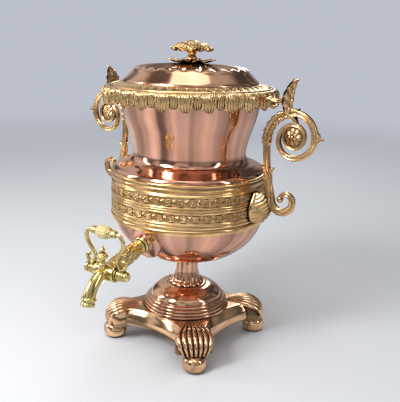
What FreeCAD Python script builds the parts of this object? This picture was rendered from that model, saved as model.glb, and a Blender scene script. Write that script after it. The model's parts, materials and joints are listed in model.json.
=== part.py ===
import FreeCAD, Part
import math
import os

# Tea urn with a plug tap. Millimetres, +Z up, origin on the urn's axis at floor level.
# The tap points to -Y, the two scroll handles stand at +X and -X, and the feet are on the diagonals.

V = FreeCAD.Vector
UP = V(0, 0, 1)
ORIGIN = V(0, 0, 0)

# Fits and walls
SEAT_GAP = 0.3
RUNNING_GAP = 0.12
SCREW_GAP = 0.1
COPPER_WALL = 1.6
LID_WALL = 1.4

# Ball feet
FOOT_SPACING = 130.0
FOOT_RADIUS = 14.5
FOOT_CENTRE_Z = 10.4
FOOT_TOP_Z = 21.0
FOOT_SCREW_RADIUS = 2.4
FOOT_SCREW_LENGTH = 26.0

# Plinth
PLINTH_TOP_Z = 44.0
PLINTH_BOTTOM_Z = 23.0
PLINTH_PLATE = 2.6
PLINTH_WALL = 3.0
SIDE_MID_TOP = 52.0
SIDE_MID_BOTTOM = 61.0
SIDE_CURVE_TOP = 85.0
SIDE_CURVE_BOTTOM = 105.0
CORNER_REACH = 56.0

# Gadrooned corner castings: how wide and high the shell is at each distance from the urn's axis
CORNER_LOBES = 7
LOBE_RISE = 1.3
CORNER_CROWN = 3.0
CORNER_FORM = ((56.0, 5.0, 44.9), (72.0, 12.0, 46.6), (88.0, 19.6, 46.2), (97.0, 20.0, 42.6),
               (102.0, 17.6, 36.0), (104.6, 14.6, 28.0))

# Pedestal
BASE_RING_RADIUS = 54.5
DOME_TOP_Z = 73.2
DOME_WALL = 2.2
STEM_RADIUS = 14.1
STEM_WAIST_Z = 95.0
STEM_FOOT_RADIUS = 22.0
STEM_CAVITY_RADIUS = 9.0

# Tie rod through the pedestal
ROD_RADIUS = 4.0
ROD_HEAD = 9.0
ROD_HEAD_HEIGHT = 5.0
ROD_TAIL = 12.0
NUT_HEIGHT = 6.0
WASHER_RADIUS = 16.0
WASHER_HEIGHT = 2.6

# Vessel
BELLY_RADIUS = 92.0
BOWL_DEPTH = 57.0
BOWL_RIM_Z = 166.0
BOWL_FORM = ((0.18, 0.0), (0.42, 0.085), (0.64, 0.222), (0.765, 0.36), (0.875, 0.53), (0.963, 0.76),
             (1.0, 1.0))
SEAM_Z = 190.0
SHOULDER_Z = 222.0
NECK_RADIUS = 68.3
NECK_Z = 243.0
MOUTH_RADIUS = 84.5
MOUTH_Z = 316.0
BAND_BOTTOM_Z = 166.0
BAND_TOP_Z = 224.0
BAND_BODY = 2.0

# Mouth rim and hanging leaf skirt
RIM_INNER = 81.2
RIM_SEAT_Z = 320.0
RIM_OUTER = 103.8
SKIRT_RADIUS = 102.4
SKIRT_THICKNESS = 2.0
SKIRT_TOP_Z = 313.4
SKIRT_ROOT_Z = 307.5
LEAF_PAIRS = 26
LARGE_LEAF = 6.4
SMALL_LEAF = 5.0
LARGE_LEAF_DROP = 11.6
SMALL_LEAF_DROP = 8.2

# Lid
LID_RADIUS = 79.9
LID_BASE_Z = 321.5
LID_TOP_Z = 347.0
LID_FOOT = 4.6
LID_BORDER_RADIUS = 91.6
FLANGE_DEPTH = 15.0
FLANGE_WALL = 2.0
ROSETTE_RADIUS = 29.5
ROSETTE_LEAVES = 10
FINIAL_STEM_RADIUS = 5.0
FINIAL_FLOWER_Z = 364.5
FINIAL_PETALS = 6
PETAL_LENGTH = 12.5
FINIAL_BUD_RADIUS = 5.6
FINIAL_TOP_Z = 373.5
STUD_RADIUS = 2.5

# Scroll handles, in the XZ plane
HANDLE_THICKNESS = 7.0
HANDLE_WIDTH = 7.0
SCROLL_X = 138.8
SCROLL_TOP_Z = 302.6
SCROLL_TURN_1 = 24.0
SCROLL_TURN_2 = 17.95
SCROLL_TURN_3 = 12.7
SCROLL_BAND_1 = 6.4
SCROLL_BAND_2 = 5.4
SCROLL_BAND_3 = 4.6
SHOULDER_ARC = 32.0
STEM_FOOT_X = 116.5
STEM_FOOT_Z = 206.0
VOLUTE_TURN_1 = 13.1
VOLUTE_TURN_2 = 7.9
VOLUTE_BAND_1 = 6.2
VOLUTE_BAND_2 = 5.2
VOLUTE_EYE = 4.4
SCROLL_EYE = 11.0
ROSETTE_DISC = 9.4
ROSETTE_HEIGHT = 3.6
SPUR_LENGTH = 8.0

# Handle brackets
BRACKET_ARM_HEIGHT = 3.8
BRACKET_ARM_WIDTH = 11.0
BRACKET_LEAF_TOP_Z = 338.0
BRACKET_LEAF_WIDTH = 17.0
SHELL_PLATE_REACH = 23.0
SHELL_PLATE_WIDTH = 16.5
SHELL_PLATE_HALF_HEIGHT = 19.5
SHELL_PLATE_Z = 194.0
HANDLE_BOLT_RADIUS = 2.5
BRACKET_SCREW_RADIUS = 1.3

# Tap
TAP_TURN = 5.0
TAP_SEAT_Z = 152.0
TAP_DROP_ANGLE = 11.5
TAP_PLUG_REACH = 66.5
SHANK_RADIUS = 8.0
TAIL_RADIUS = 6.5
TAIL_LENGTH = 15.0
BARREL_RADIUS = 9.0
BARREL_HALF_LENGTH = 13.0
PLUG_RADIUS = 5.8
PLUG_END_RADIUS = 3.5
WATERWAY = 2.5
SPOUT_RADIUS = 7.2
SPOUT_CURVE = 26.0
SPOUT_START_ANGLE = 0.0
SPOUT_TURN = 75.0
NOZZLE_RADIUS = 8.0
NOZZLE_LENGTH = 8.0
ESCUTCHEON_RADIUS = 20.5
ESCUTCHEON_HEIGHT = 7.0
TAP_NUT_RADIUS = 11.0
TAP_NUT_HEIGHT = 5.0
TAP_SEAL_HEIGHT = 5.4
TAP_OPEN_ANGLE = 90.0

# Lyre handle of the tap
LYRE_LEAN = 5.0
LYRE_WAIST_X = 14.5
LYRE_BELLY_X = 21.0
LYRE_HEIGHT = 45.0
LYRE_ARM_RADIUS = 2.3
BOSS_RADIUS = 6.0
BOSS_LENGTH = 6.6
WASHER_LENGTH = 1.8
GRIP_RADIUS = 6.5
GRIP_LENGTH = 20.5
GRIP_RIBS = 7
FERRULE_RADIUS = 4.6
FERRULE_LENGTH = 6.0
CAP_LENGTH = 7.0

# Heater
SLEEVE_RADIUS = 24.0
SLEEVE_WALL = 1.6
SLEEVE_TOP_Z = 306.0
SLEEVE_BASE = 3.0
BOWL_SEAL_HEIGHT = 2.8
BOWL_SEAL_RADIUS = 12.0
SLUG_RADIUS = 20.0
SLUG_HEIGHT = 140.0
SLUG_EYE_RADIUS = 8.0
SLUG_EYE_WIRE = 2.2
COVER_RADIUS = 27.0
COVER_HEIGHT = 2.2
COVER_PLUG_DEPTH = 6.0
COVER_PLUG_GAP = 0.6
COVER_KNOB_RADIUS = 6.0
COVER_KNOB_HEIGHT = 12.5

# Places worked out from the sizes above
FOOT_OFFSET = FOOT_SPACING / 2
FOOT_RADIAL = FOOT_OFFSET * math.sqrt(2)
BOWL_BOTTOM_Z = BOWL_RIM_Z - BOWL_DEPTH
PLATE_UNDER_Z = PLINTH_TOP_Z - PLINTH_PLATE
SLEEVE_BASE_Z = BOWL_BOTTOM_Z + COPPER_WALL + BOWL_SEAL_HEIGHT
ROD_HEAD_Z = SLEEVE_BASE_Z + SLEEVE_BASE
SLUG_BASE_Z = ROD_HEAD_Z + ROD_HEAD_HEIGHT + SEAT_GAP
DROP = math.radians(TAP_DROP_ANGLE)
TAP_AXIS = V(0, -math.cos(DROP), -math.sin(DROP))
HANDLE_HALF = HANDLE_THICKNESS / 2
BRACKET_ARM_Z = (RIM_SEAT_Z + SKIRT_TOP_Z) / 2 - 1.5


def save(name, shape):
    """Writes one node as a STEP file."""
    solids = shape.Solids
    kept = solids[0] if len(solids) == 1 else Part.makeCompound(solids)
    kept.exportStep("parts/" + name + ".step")


def revolve(points):
    """A solid of revolution about the urn's axis from (radius, height) corners."""
    wire = Part.makePolygon([V(r, 0, z) for r, z in points + points[:1]])
    return Part.Face(wire).revolve(ORIGIN, UP, 360)


def arcs(points):
    """Arcs through an odd number of (radius, height) points, three at a time."""
    places = [V(r, 0, z) for r, z in points]
    return [Part.Arc(*places[i:i + 3]).toShape() for i in range(0, len(places) - 2, 2)]


def revolve_edges(edges):
    """A solid of revolution from edges that close up in the XZ plane."""
    wire = Part.Wire(Part.__sortEdges__(edges))
    return Part.Face(wire).revolve(ORIGIN, UP, 360)


def inward(points, wall):
    """The same outline moved inward by a wall's thickness, along its own normals."""
    moved = []
    last = len(points) - 1
    for i, (r, z) in enumerate(points):
        before = points[max(i - 1, 0)]
        after = points[min(i + 1, last)]
        along = V(after[0] - before[0], 0, after[1] - before[1])
        along.normalize()
        moved.append((r - along.z * wall, z + along.x * wall))
    return moved


def line(a, b):
    return Part.LineSegment(V(a[0], 0, a[1]), V(b[0], 0, b[1])).toShape()


def tube(outer, inner, z0, z1):
    height = z1 - z0
    ring = Part.makeCylinder(outer, height, V(0, 0, z0))
    return ring.cut(Part.makeCylinder(inner, height, V(0, 0, z0)))


def rod(radius, z0, z1, x=0.0, y=0.0):
    return Part.makeCylinder(radius, z1 - z0, V(x, y, z0))


def x_rod(radius, x0, x1, y, z):
    return Part.makeCylinder(radius, x1 - x0, V(x0, y, z), V(1, 0, 0))


def axis_turned(points, base, axis):
    """A solid of revolution from (radius, distance) corners, set along any axis from a base point."""
    solid = revolve(points)
    solid.Placement = FreeCAD.Placement(base, FreeCAD.Rotation(UP, axis))
    return solid


def hexagon(across_corners, z0, z1):
    corners = []
    for i in range(7):
        turn = math.radians(60 * i)
        corners.append(V(across_corners * math.cos(turn), across_corners * math.sin(turn), z0))
    return Part.Face(Part.makePolygon(corners)).extrude(V(0, 0, z1 - z0))


def quarter_copies(shape):
    """Four copies, one on each diagonal, of a shape made on the +X axis."""
    copies = []
    for i in range(4):
        one = shape.copy()
        one.rotate(ORIGIN, UP, 45 + 90 * i)
        copies.append(one)
    return copies


def mirrored(shape):
    return shape.mirror(ORIGIN, V(1, 0, 0))


def ellipsoid(centre, rx, ry, rz):
    ball = Part.makeSphere(1.0)
    matrix = FreeCAD.Matrix()
    matrix.scale(rx, ry, rz)
    shape = ball.transformGeometry(matrix)
    shape.translate(centre)
    return shape


def bowl_points(wall):
    """The bowl's outline from its flat bottom up to the band, moved in by a wall's thickness."""
    floor_z = BOWL_RIM_Z - BOWL_DEPTH
    outside = [(BELLY_RADIUS * out, floor_z + BOWL_DEPTH * up) for out, up in BOWL_FORM]
    if wall == 0:
        return outside
    inside = inward(outside, wall)
    inside[0] = (outside[0][0], floor_z + wall)
    inside[-1] = (BELLY_RADIUS - wall, BOWL_RIM_Z)
    return inside


def bowl_radius(height):
    """The outside radius of the bowl at one height."""
    places = Part.Wire(arcs(bowl_points(0))).discretize(Number=400)
    below = [place for place in places if place.z <= height][-1]
    above = [place for place in places if place.z > height][0]
    share = (height - below.z) / (above.z - below.z)
    return below.x + (above.x - below.x) * share


TAP_SEAT = V(0, -bowl_radius(TAP_SEAT_Z), TAP_SEAT_Z)
PLUG_CENTRE = TAP_SEAT + TAP_AXIS * TAP_PLUG_REACH


def bowl_form(wall, top):
    """The filled form of the bowl, outside (wall 0) or inside, with a straight wall above it."""
    points = bowl_points(wall)
    low = points[0]
    high = points[-1]
    edges = arcs(points) + [line(high, (high[0], top)), line((high[0], top), (0, top))]
    edges += [line((0, top), (0, low[1])), line((0, low[1]), low)]
    return revolve_edges(edges)


# Ball feet and their screws
def ball_foot():
    ball = Part.makeSphere(FOOT_RADIUS, V(FOOT_RADIAL, 0, FOOT_CENTRE_Z))
    keep = rod(FOOT_RADIUS * 1.2, 0, FOOT_TOP_Z, FOOT_RADIAL)
    hole = rod(FOOT_SCREW_RADIUS + SCREW_GAP, FOOT_TOP_Z - FOOT_SCREW_LENGTH / 2, FOOT_TOP_Z, FOOT_RADIAL)
    return ball.common(keep).cut(hole)


def foot_screw():
    half = FOOT_SCREW_LENGTH / 2
    return rod(FOOT_SCREW_RADIUS, FOOT_TOP_Z - half, FOOT_TOP_Z + half, FOOT_RADIAL)


# Plinth with four concave sides
def plinth_wire(middle, curve, reach, z):
    """One outline: four hollow arcs joined across the corners by straight chords."""
    sag = curve - math.sqrt(curve ** 2 - reach ** 2)
    edges = []
    for i in range(4):
        turn = FreeCAD.Rotation(UP, 90 * i)
        start = turn.multVec(V(-reach, -middle - sag, z))
        mid = turn.multVec(V(0, -middle, z))
        end = turn.multVec(V(reach, -middle - sag, z))
        following = FreeCAD.Rotation(UP, 90 * (i + 1)).multVec(V(-reach, -middle - sag, z))
        edges.append(Part.Arc(start, mid, end).toShape())
        edges.append(Part.LineSegment(end, following).toShape())
    return Part.Wire(edges)


def plinth_block(shrink, z0, z1):
    low = plinth_wire(SIDE_MID_BOTTOM - shrink, SIDE_CURVE_BOTTOM, CORNER_REACH - shrink, z0)
    high = plinth_wire(SIDE_MID_TOP - shrink, SIDE_CURVE_TOP, CORNER_REACH - shrink, z1)
    return Part.makeLoft([low, high], True, True)


def corner_slab(radial):
    """Everything outside one diagonal's seam plane."""
    return Part.makeBox(80, 160, 120, V(radial, -80, -20))


def plinth():
    body = plinth_block(0, PLINTH_BOTTOM_Z, PLINTH_TOP_Z)
    hollow = plinth_block(PLINTH_WALL, PLINTH_BOTTOM_Z, PLATE_UNDER_Z)
    for slab in quarter_copies(corner_slab(CORNER_FORM[1][0] - PLINTH_WALL)):
        hollow = hollow.cut(slab)
    body = body.cut(hollow).cut(rod(ROD_RADIUS + SCREW_GAP, 0, PLINTH_TOP_Z + 1))
    for slab in quarter_copies(corner_slab(CORNER_FORM[1][0])):
        body = body.cut(slab)
    return body


# Gadrooned corner casting: a shell of seven lobes that fan out, turn over the edge and hang down
def corner_section(radial, half, top, low):
    """One upright section of the casting: scalloped on top, flat below."""
    edges = []
    for i in range(CORNER_LOBES):
        places = []
        for step, rise in ((i, 0), (i + 0.5, LOBE_RISE), (i + 1, 0)):
            across = 2 * step / CORNER_LOBES - 1
            height = top - CORNER_CROWN * half / 20 * across ** 2 + rise * half / 20
            places.append(V(radial, across * half, height))
        edges.append(Part.Arc(*places).toShape())
    left = edges[0].Vertexes[0].Point
    right = edges[-1].Vertexes[-1].Point
    floor_left = V(radial, -half, low)
    floor_right = V(radial, half, low)
    edges.append(Part.LineSegment(right, floor_right).toShape())
    edges.append(Part.LineSegment(floor_right, floor_left).toShape())
    edges.append(Part.LineSegment(floor_left, left).toShape())
    return Part.Wire(edges)


def corner_casting():
    start, seam = CORNER_FORM[:2]
    crest = Part.makeLoft([corner_section(*start, PLINTH_TOP_Z), corner_section(*seam, PLINTH_TOP_Z)],
                          True, True)
    body = Part.makeLoft([corner_section(*form, FOOT_TOP_Z) for form in CORNER_FORM[1:]], True, True)
    casting = crest.fuse(body)
    hole = rod(FOOT_SCREW_RADIUS + SCREW_GAP, FOOT_TOP_Z, FOOT_TOP_Z + FOOT_SCREW_LENGTH / 2 + 1,
               FOOT_RADIAL)
    return casting.cut(hole)


# Pedestal dome: stepped rings below, a low crown above
def pedestal_dome():
    r = BASE_RING_RADIUS
    z = PLINTH_TOP_Z
    rings = [(r, z), (r, z + 3.5), (r - 2, z + 4.3), (r - 2, z + 7), (r - 4.5, z + 7.6),
             (r - 4.5, z + 10),
             (r - 7, z + 10.6), (r - 7.5, z + 13.5), (r - 9.5, z + 14.2), (r - 10.5, z + 18)]
    crown = Part.Arc(V(r - 10.5, 0, z + 18), V(34, 0, z + 25.3), V(20, 0, DOME_TOP_Z)).toShape()
    bore = ROD_RADIUS + SCREW_GAP
    under = [(r - DOME_WALL, z), (r - 7.5, z + 6.5), (r - 12.5, z + 13.5), (r - 16.5, z + 18.6),
             (r - 25, z + 23.6), (18, DOME_TOP_Z - DOME_WALL), (bore, DOME_TOP_Z - DOME_WALL)]
    edges = [line(a, b) for a, b in zip(rings, rings[1:])]
    edges += [crown, line((20, DOME_TOP_Z), (bore, DOME_TOP_Z))]
    edges += [line(a, b) for a, b in zip(under, under[1:])]
    edges += [line(under[0], rings[0]), line((bore, DOME_TOP_Z), under[-1])]
    return revolve_edges(edges)


# Stem: leafy foot, slim waist, flared top that takes the bowl
def stem():
    foot_z = DOME_TOP_Z
    side = [(17.5, foot_z + 5.3), (15.0, foot_z + 13), (STEM_RADIUS, STEM_WAIST_Z),
            (14.9, STEM_WAIST_Z + 9), (17.5, BOWL_BOTTOM_Z)]
    top = BOWL_BOTTOM_Z + 3
    edges = [line((0, foot_z), (STEM_FOOT_RADIUS, foot_z)),
             line((STEM_FOOT_RADIUS, foot_z), (STEM_FOOT_RADIUS, foot_z + 2)),
             line((STEM_FOOT_RADIUS, foot_z + 2), side[0])] + arcs(side)
    edges += [line(side[-1], (side[-1][0], top)), line((side[-1][0], top), (0, top)),
              line((0, top), (0, foot_z))]
    body = revolve_edges(edges)
    grooves = []
    count = 14
    for i in range(count):
        turn = 2 * math.pi * i / count
        out = V(math.cos(turn), math.sin(turn), 0)
        base = out * (STEM_FOOT_RADIUS + 1.2) + V(0, 0, foot_z - 1)
        grooves.append(Part.makeCylinder(1.7, 16, base, V(-out.x * 0.45, -out.y * 0.45, 1)))
    body = body.cut(Part.makeCompound(grooves))
    body = body.cut(rod(STEM_CAVITY_RADIUS, foot_z + 6, BOWL_BOTTOM_Z - 5))
    body = body.cut(rod(ROD_RADIUS + SCREW_GAP, foot_z - 1, top + 1))
    return body.cut(bowl_form(0, SEAM_Z))


# Tie rod, nut and washer that clamp the pedestal
def tie_rod():
    shaft = rod(ROD_RADIUS, PLATE_UNDER_Z - ROD_TAIL, ROD_HEAD_Z)
    return shaft.fuse(hexagon(ROD_HEAD, ROD_HEAD_Z, ROD_HEAD_Z + ROD_HEAD_HEIGHT)).removeSplitter()


def base_washer():
    return tube(WASHER_RADIUS, ROD_RADIUS + SCREW_GAP, PLATE_UNDER_Z - WASHER_HEIGHT, PLATE_UNDER_Z)


def base_nut():
    top = PLATE_UNDER_Z - WASHER_HEIGHT
    return hexagon(ROD_HEAD, top - NUT_HEIGHT,
                   top).cut(rod(ROD_RADIUS + SCREW_GAP, top - NUT_HEIGHT, top))


# Vessel: bowl, band, neck, rim
def bowl_cavity():
    return bowl_form(COPPER_WALL, SEAM_Z + 1)


def tap_turned(shape):
    """The tap's own side of the urn, turned a little from the front."""
    turned = shape.copy()
    turned.rotate(ORIGIN, UP, TAP_TURN)
    return turned


def tap_bore(radius, start, end):
    return Part.makeCylinder(radius, end - start, TAP_SEAT + TAP_AXIS * start, TAP_AXIS)


def lower_bowl():
    bore = ROD_RADIUS + SCREW_GAP
    outside = bowl_points(0)
    inside = bowl_points(COPPER_WALL)
    low = outside[0]
    floor = inside[0]
    wall = BELLY_RADIUS - COPPER_WALL
    edges = arcs(outside) + [line(outside[-1], (BELLY_RADIUS, SEAM_Z)),
                             line((BELLY_RADIUS, SEAM_Z), (wall, SEAM_Z))]
    edges += arcs(inside) + [line((wall, SEAM_Z), inside[-1]), line(floor, (bore, floor[1]))]
    edges += [line((bore, floor[1]), (bore, low[1])), line((bore, low[1]), low)]
    return revolve_edges(edges).cut(tap_turned(tap_bore(TAIL_RADIUS + SCREW_GAP, -12, 12)))


def neck_outline():
    return [(BELLY_RADIUS, SHOULDER_Z), (89.2, SHOULDER_Z + 5.6), (80.5, SHOULDER_Z + 9.8),
            (71.6, SHOULDER_Z + 13.8), (NECK_RADIUS, NECK_Z), (69.6, NECK_Z + 11), (73.0, NECK_Z + 24),
            (79.2, NECK_Z + 44), (MOUTH_RADIUS, MOUTH_Z)]


def vessel_neck():
    outline = neck_outline()
    inner = inward(outline, COPPER_WALL)
    inner[0] = (BELLY_RADIUS - COPPER_WALL, SHOULDER_Z)
    inner[-1] = (MOUTH_RADIUS - COPPER_WALL, MOUTH_Z)
    edges = arcs(outline) + [line(outline[-1], inner[-1])] + arcs(inner)
    edges += [line(outline[0], (BELLY_RADIUS, SEAM_Z)), line(inner[0], (inner[0][0], SEAM_Z))]
    edges.append(line((BELLY_RADIUS, SEAM_Z), (inner[0][0], SEAM_Z)))
    body = revolve_edges(edges)
    reach = BELLY_RADIUS + 5
    return body.cut(x_rod(HANDLE_BOLT_RADIUS + SCREW_GAP, -reach, reach, 0, SHELL_PLATE_Z))


def band_outline():
    """Radial build-up of the belly band's mouldings over its body, from the bottom up, as (proud, height)."""
    base = BAND_BOTTOM_Z
    return [(0.3, base), (1.6, base + 0.6), (2.0, base + 3.4), (1.6, base + 6.2), (0.2, base + 7.2),
            (1.0, base + 8.4), (1.2, base + 10.2), (0.4, base + 11.4), (1.1, base + 12.8), (0.5,
                                                                                            base + 14.6),
            (0.0, base + 15.4), (0.0, base + 24.0), (0.7, base + 24.8), (1.1, base + 26.4), (0.4,
                                                                                             base + 27.6),
            (1.1, base + 29.0), (0.4, base + 30.4), (1.1, base + 31.6), (0.6, base + 33.2), (0.0,
                                                                                             base + 33.6),
            (0.0, base + 43.0), (0.8, base + 43.8), (0.6, base + 45.4), (-0.6, base + 47.6), (-0.7,
                                                                                              base + 49.6),
            (0.2, base + 51.4), (0.4, base + 52.8), (-0.5, base + 54.2), (1.0, base + 55.4), (1.2,
                                                                                              base + 57.2),
            (0.2, BAND_TOP_Z)]


def belly_band():
    body = BELLY_RADIUS + BAND_BODY
    outside = [(body + proud, z) for proud, z in band_outline()]
    ring = revolve([(BELLY_RADIUS, BAND_BOTTOM_Z)] + outside + [(BELLY_RADIUS, BAND_TOP_Z)])
    ring = ring.cut(bowl_like_shoulder())
    hole = x_rod(HANDLE_BOLT_RADIUS + SCREW_GAP, -body - 5, body + 5, 0, SHELL_PLATE_Z)
    return ring.cut(hole)


def bowl_like_shoulder():
    """The filled neck, so that the band's top edge lies on the shoulder."""
    outline = neck_outline()
    edges = arcs(outline) + [line(outline[-1], (0, MOUTH_Z)), line((0, MOUTH_Z), (0, SEAM_Z))]
    edges += [line((0, SEAM_Z), (BELLY_RADIUS, SEAM_Z)), line((BELLY_RADIUS, SEAM_Z), outline[0])]
    return revolve_edges(edges)


def mouth_rim():
    seat = RIM_SEAT_Z
    low = SKIRT_TOP_Z
    ring = revolve([(RIM_INNER, MOUTH_Z), (RIM_INNER, seat), (LID_BORDER_RADIUS + 0.7, seat),
                    (LID_BORDER_RADIUS + 1.2, seat + 2), (LID_BORDER_RADIUS + 2.9, seat + 3),
                    (LID_BORDER_RADIUS + 4.9, seat + 2.5), (RIM_OUTER - 0.8, seat - 3.4),
                    (RIM_OUTER, seat - 5.2), (RIM_OUTER - 0.8, low), (RIM_OUTER - 6.8, low), (86,
                                                                                              MOUTH_Z)])
    inner = RIM_OUTER - 9
    keep_clear = x_rod(BRACKET_SCREW_RADIUS + SCREW_GAP, inner, RIM_OUTER + 2, 0, BRACKET_ARM_Z)
    return ring.cut(keep_clear).cut(mirrored(keep_clear))


# Hanging leaf skirt: large and small leaves in turn
def leaf_skirt():
    outer = SKIRT_RADIUS
    inner = SKIRT_RADIUS - SKIRT_THICKNESS
    band = tube(outer, inner, SKIRT_ROOT_Z, SKIRT_TOP_Z)
    wall = tube(outer, inner, SKIRT_TOP_Z - LARGE_LEAF_DROP - 1, SKIRT_TOP_Z)
    leaves = []
    for i in range(2 * LEAF_PAIRS):
        large = i % 2 == 0
        radius = LARGE_LEAF if large else SMALL_LEAF
        drop = LARGE_LEAF_DROP if large else SMALL_LEAF_DROP
        turn = math.pi * i / LEAF_PAIRS
        out = V(math.cos(turn), math.sin(turn), 0)
        centre = out * (inner - 3) + V(0, 0, SKIRT_TOP_Z - drop + radius)
        leaves.append(Part.makeCylinder(radius, SKIRT_THICKNESS + 6, centre, out))
    lobes = wall.common(leaves[0].fuse(leaves[1:]))
    return band.fuse(lobes).removeSplitter()


# Lid
def lid_outline():
    low = LID_BASE_Z + LID_FOOT
    return [(LID_RADIUS, low), (78.6, low + 2.6), (74.6, low + 6.6), (69.2, low + 11.8),
            (65.6, low + 15.8),
            (64.0, low + 17.3), (60.5, LID_TOP_Z - 3.2), (38, LID_TOP_Z - 1.2), (12, LID_TOP_Z)]


def lid_dome():
    outline = lid_outline()
    inner = inward(outline, LID_WALL)
    wall = LID_RADIUS - LID_WALL
    inner[0] = (wall, outline[0][1])
    inner[-1] = (12, LID_TOP_Z - LID_WALL)
    bore = STUD_RADIUS + SCREW_GAP
    edges = arcs(outline) + arcs(inner) + [line((LID_RADIUS, LID_BASE_Z), (wall, LID_BASE_Z))]
    edges += [line(outline[0], (LID_RADIUS, LID_BASE_Z)), line(inner[0], (wall, LID_BASE_Z))]
    edges += [line(outline[-1], (bore, LID_TOP_Z)), line(inner[-1], (bore, LID_TOP_Z - LID_WALL))]
    edges.append(line((bore, LID_TOP_Z), (bore, LID_TOP_Z - LID_WALL)))
    return revolve_edges(edges)


def lid_flange():
    return tube(LID_RADIUS, LID_RADIUS - FLANGE_WALL, LID_BASE_Z - FLANGE_DEPTH, LID_BASE_Z)


def lid_border():
    low = RIM_SEAT_Z + SEAT_GAP
    edge = LID_BORDER_RADIUS
    return revolve([(LID_RADIUS, low), (edge - 0.6, low), (edge, low + 0.9), (edge - 0.9, low + 2.2),
                    (edge - 4, low + 3.4), (edge - 8.5, low + 5.0), (LID_RADIUS, low + 5.4)])


def petal_outline(count, outer, valley, z, height):
    """A flat flower outline, with rounded tips and shallow valleys, made into a slab."""
    edges = []
    for i in range(count):
        a0 = 2 * math.pi * i / count
        a1 = 2 * math.pi * (i + 0.5) / count
        a2 = 2 * math.pi * (i + 1) / count
        start = V(valley * math.cos(a0), valley * math.sin(a0), z)
        tip = V(outer * math.cos(a1), outer * math.sin(a1), z)
        end = V(valley * math.cos(a2), valley * math.sin(a2), z)
        edges.append(Part.Arc(start, tip, end).toShape())
    return Part.Face(Part.Wire(edges)).extrude(V(0, 0, height))


def lid_rosette():
    z = LID_TOP_Z
    bore = STUD_RADIUS + SCREW_GAP
    dish = revolve([(bore, z), (11, z), (ROSETTE_RADIUS + 1, z + 3.6), (ROSETTE_RADIUS + 1, z + 5.2),
                    (15, z + 3.0), (8, z + 5.2), (6, z + 7.0), (bore, z + 7.0)])
    slab = petal_outline(ROSETTE_LEAVES, ROSETTE_RADIUS, ROSETTE_RADIUS * 0.78, z - 1, 12)
    return dish.common(slab)


def finial_stem():
    z = LID_TOP_Z + 7
    r = FINIAL_STEM_RADIUS
    bore = STUD_RADIUS + SCREW_GAP
    top = FINIAL_FLOWER_Z - 4.5
    return revolve([(bore, z), (r, z), (r + 0.4, z + 0.8), (r - 0.5, z + 2), (r + 0.6, top), (bore, top)])


def finial_flower():
    core = ellipsoid(V(0, 0, FINIAL_FLOWER_Z + 0.6), 10, 10, 5.6)
    petals = []
    for i in range(FINIAL_PETALS):
        petal = ellipsoid(V(PETAL_LENGTH, 0, FINIAL_FLOWER_Z - 0.2), PETAL_LENGTH, 8.2, 3.6)
        petal.rotate(V(PETAL_LENGTH, 0, FINIAL_FLOWER_Z), V(0, 1, 0), 8)
        petal.rotate(ORIGIN, UP, 360 * i / FINIAL_PETALS)
        petals.append(petal)
    bud = Part.makeSphere(FINIAL_BUD_RADIUS, V(0, 0, FINIAL_TOP_Z - FINIAL_BUD_RADIUS))
    flower = core.fuse(petals + [bud])
    under = FINIAL_FLOWER_Z - 4.5
    flower = flower.cut(rod(40, under - 10, under))
    return flower.cut(rod(STUD_RADIUS + SCREW_GAP, under - 1, under + 5))


def finial_stud():
    return rod(STUD_RADIUS, LID_TOP_Z - LID_WALL - 6, FINIAL_FLOWER_Z)


def finial_nut():
    top = LID_TOP_Z - LID_WALL
    return hexagon(6.5, top - 4.2, top).cut(rod(STUD_RADIUS + SCREW_GAP, top - 4.2, top))


# Scroll handles, built from rings cut at half turns
def ring_part(cx, cz, radius, width, start, end):
    """Part of a flat ring in the XZ plane, from one angle to another, as thick as the handle."""
    outer = radius + width / 2
    inner = radius - width / 2

    def at(r, degrees):
        turn = math.radians(degrees)
        return V(cx + r * math.cos(turn), -HANDLE_HALF, cz + r * math.sin(turn))

    middle = (start + end) / 2
    edges = [Part.Arc(at(outer, start), at(outer, middle), at(outer, end)).toShape(),
             Part.LineSegment(at(outer, end), at(inner, end)).toShape(),
             Part.Arc(at(inner, end), at(inner, middle), at(inner, start)).toShape(),
             Part.LineSegment(at(inner, start), at(outer, start)).toShape()]
    return Part.Face(Part.Wire(edges)).extrude(V(0, HANDLE_THICKNESS, 0))


def scroll_centres():
    """Heights of the centres of the scroll's three half turns, from the outside in."""
    first = SCROLL_TOP_Z - SCROLL_TURN_1
    second = first - SCROLL_TURN_1 + SCROLL_TURN_2
    third = second + SCROLL_TURN_2 - SCROLL_TURN_3
    return first, second, third


def y_disc(radius, x, z, half):
    return Part.makeCylinder(radius, 2 * half, V(x, -half, z), V(0, 1, 0))


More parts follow.
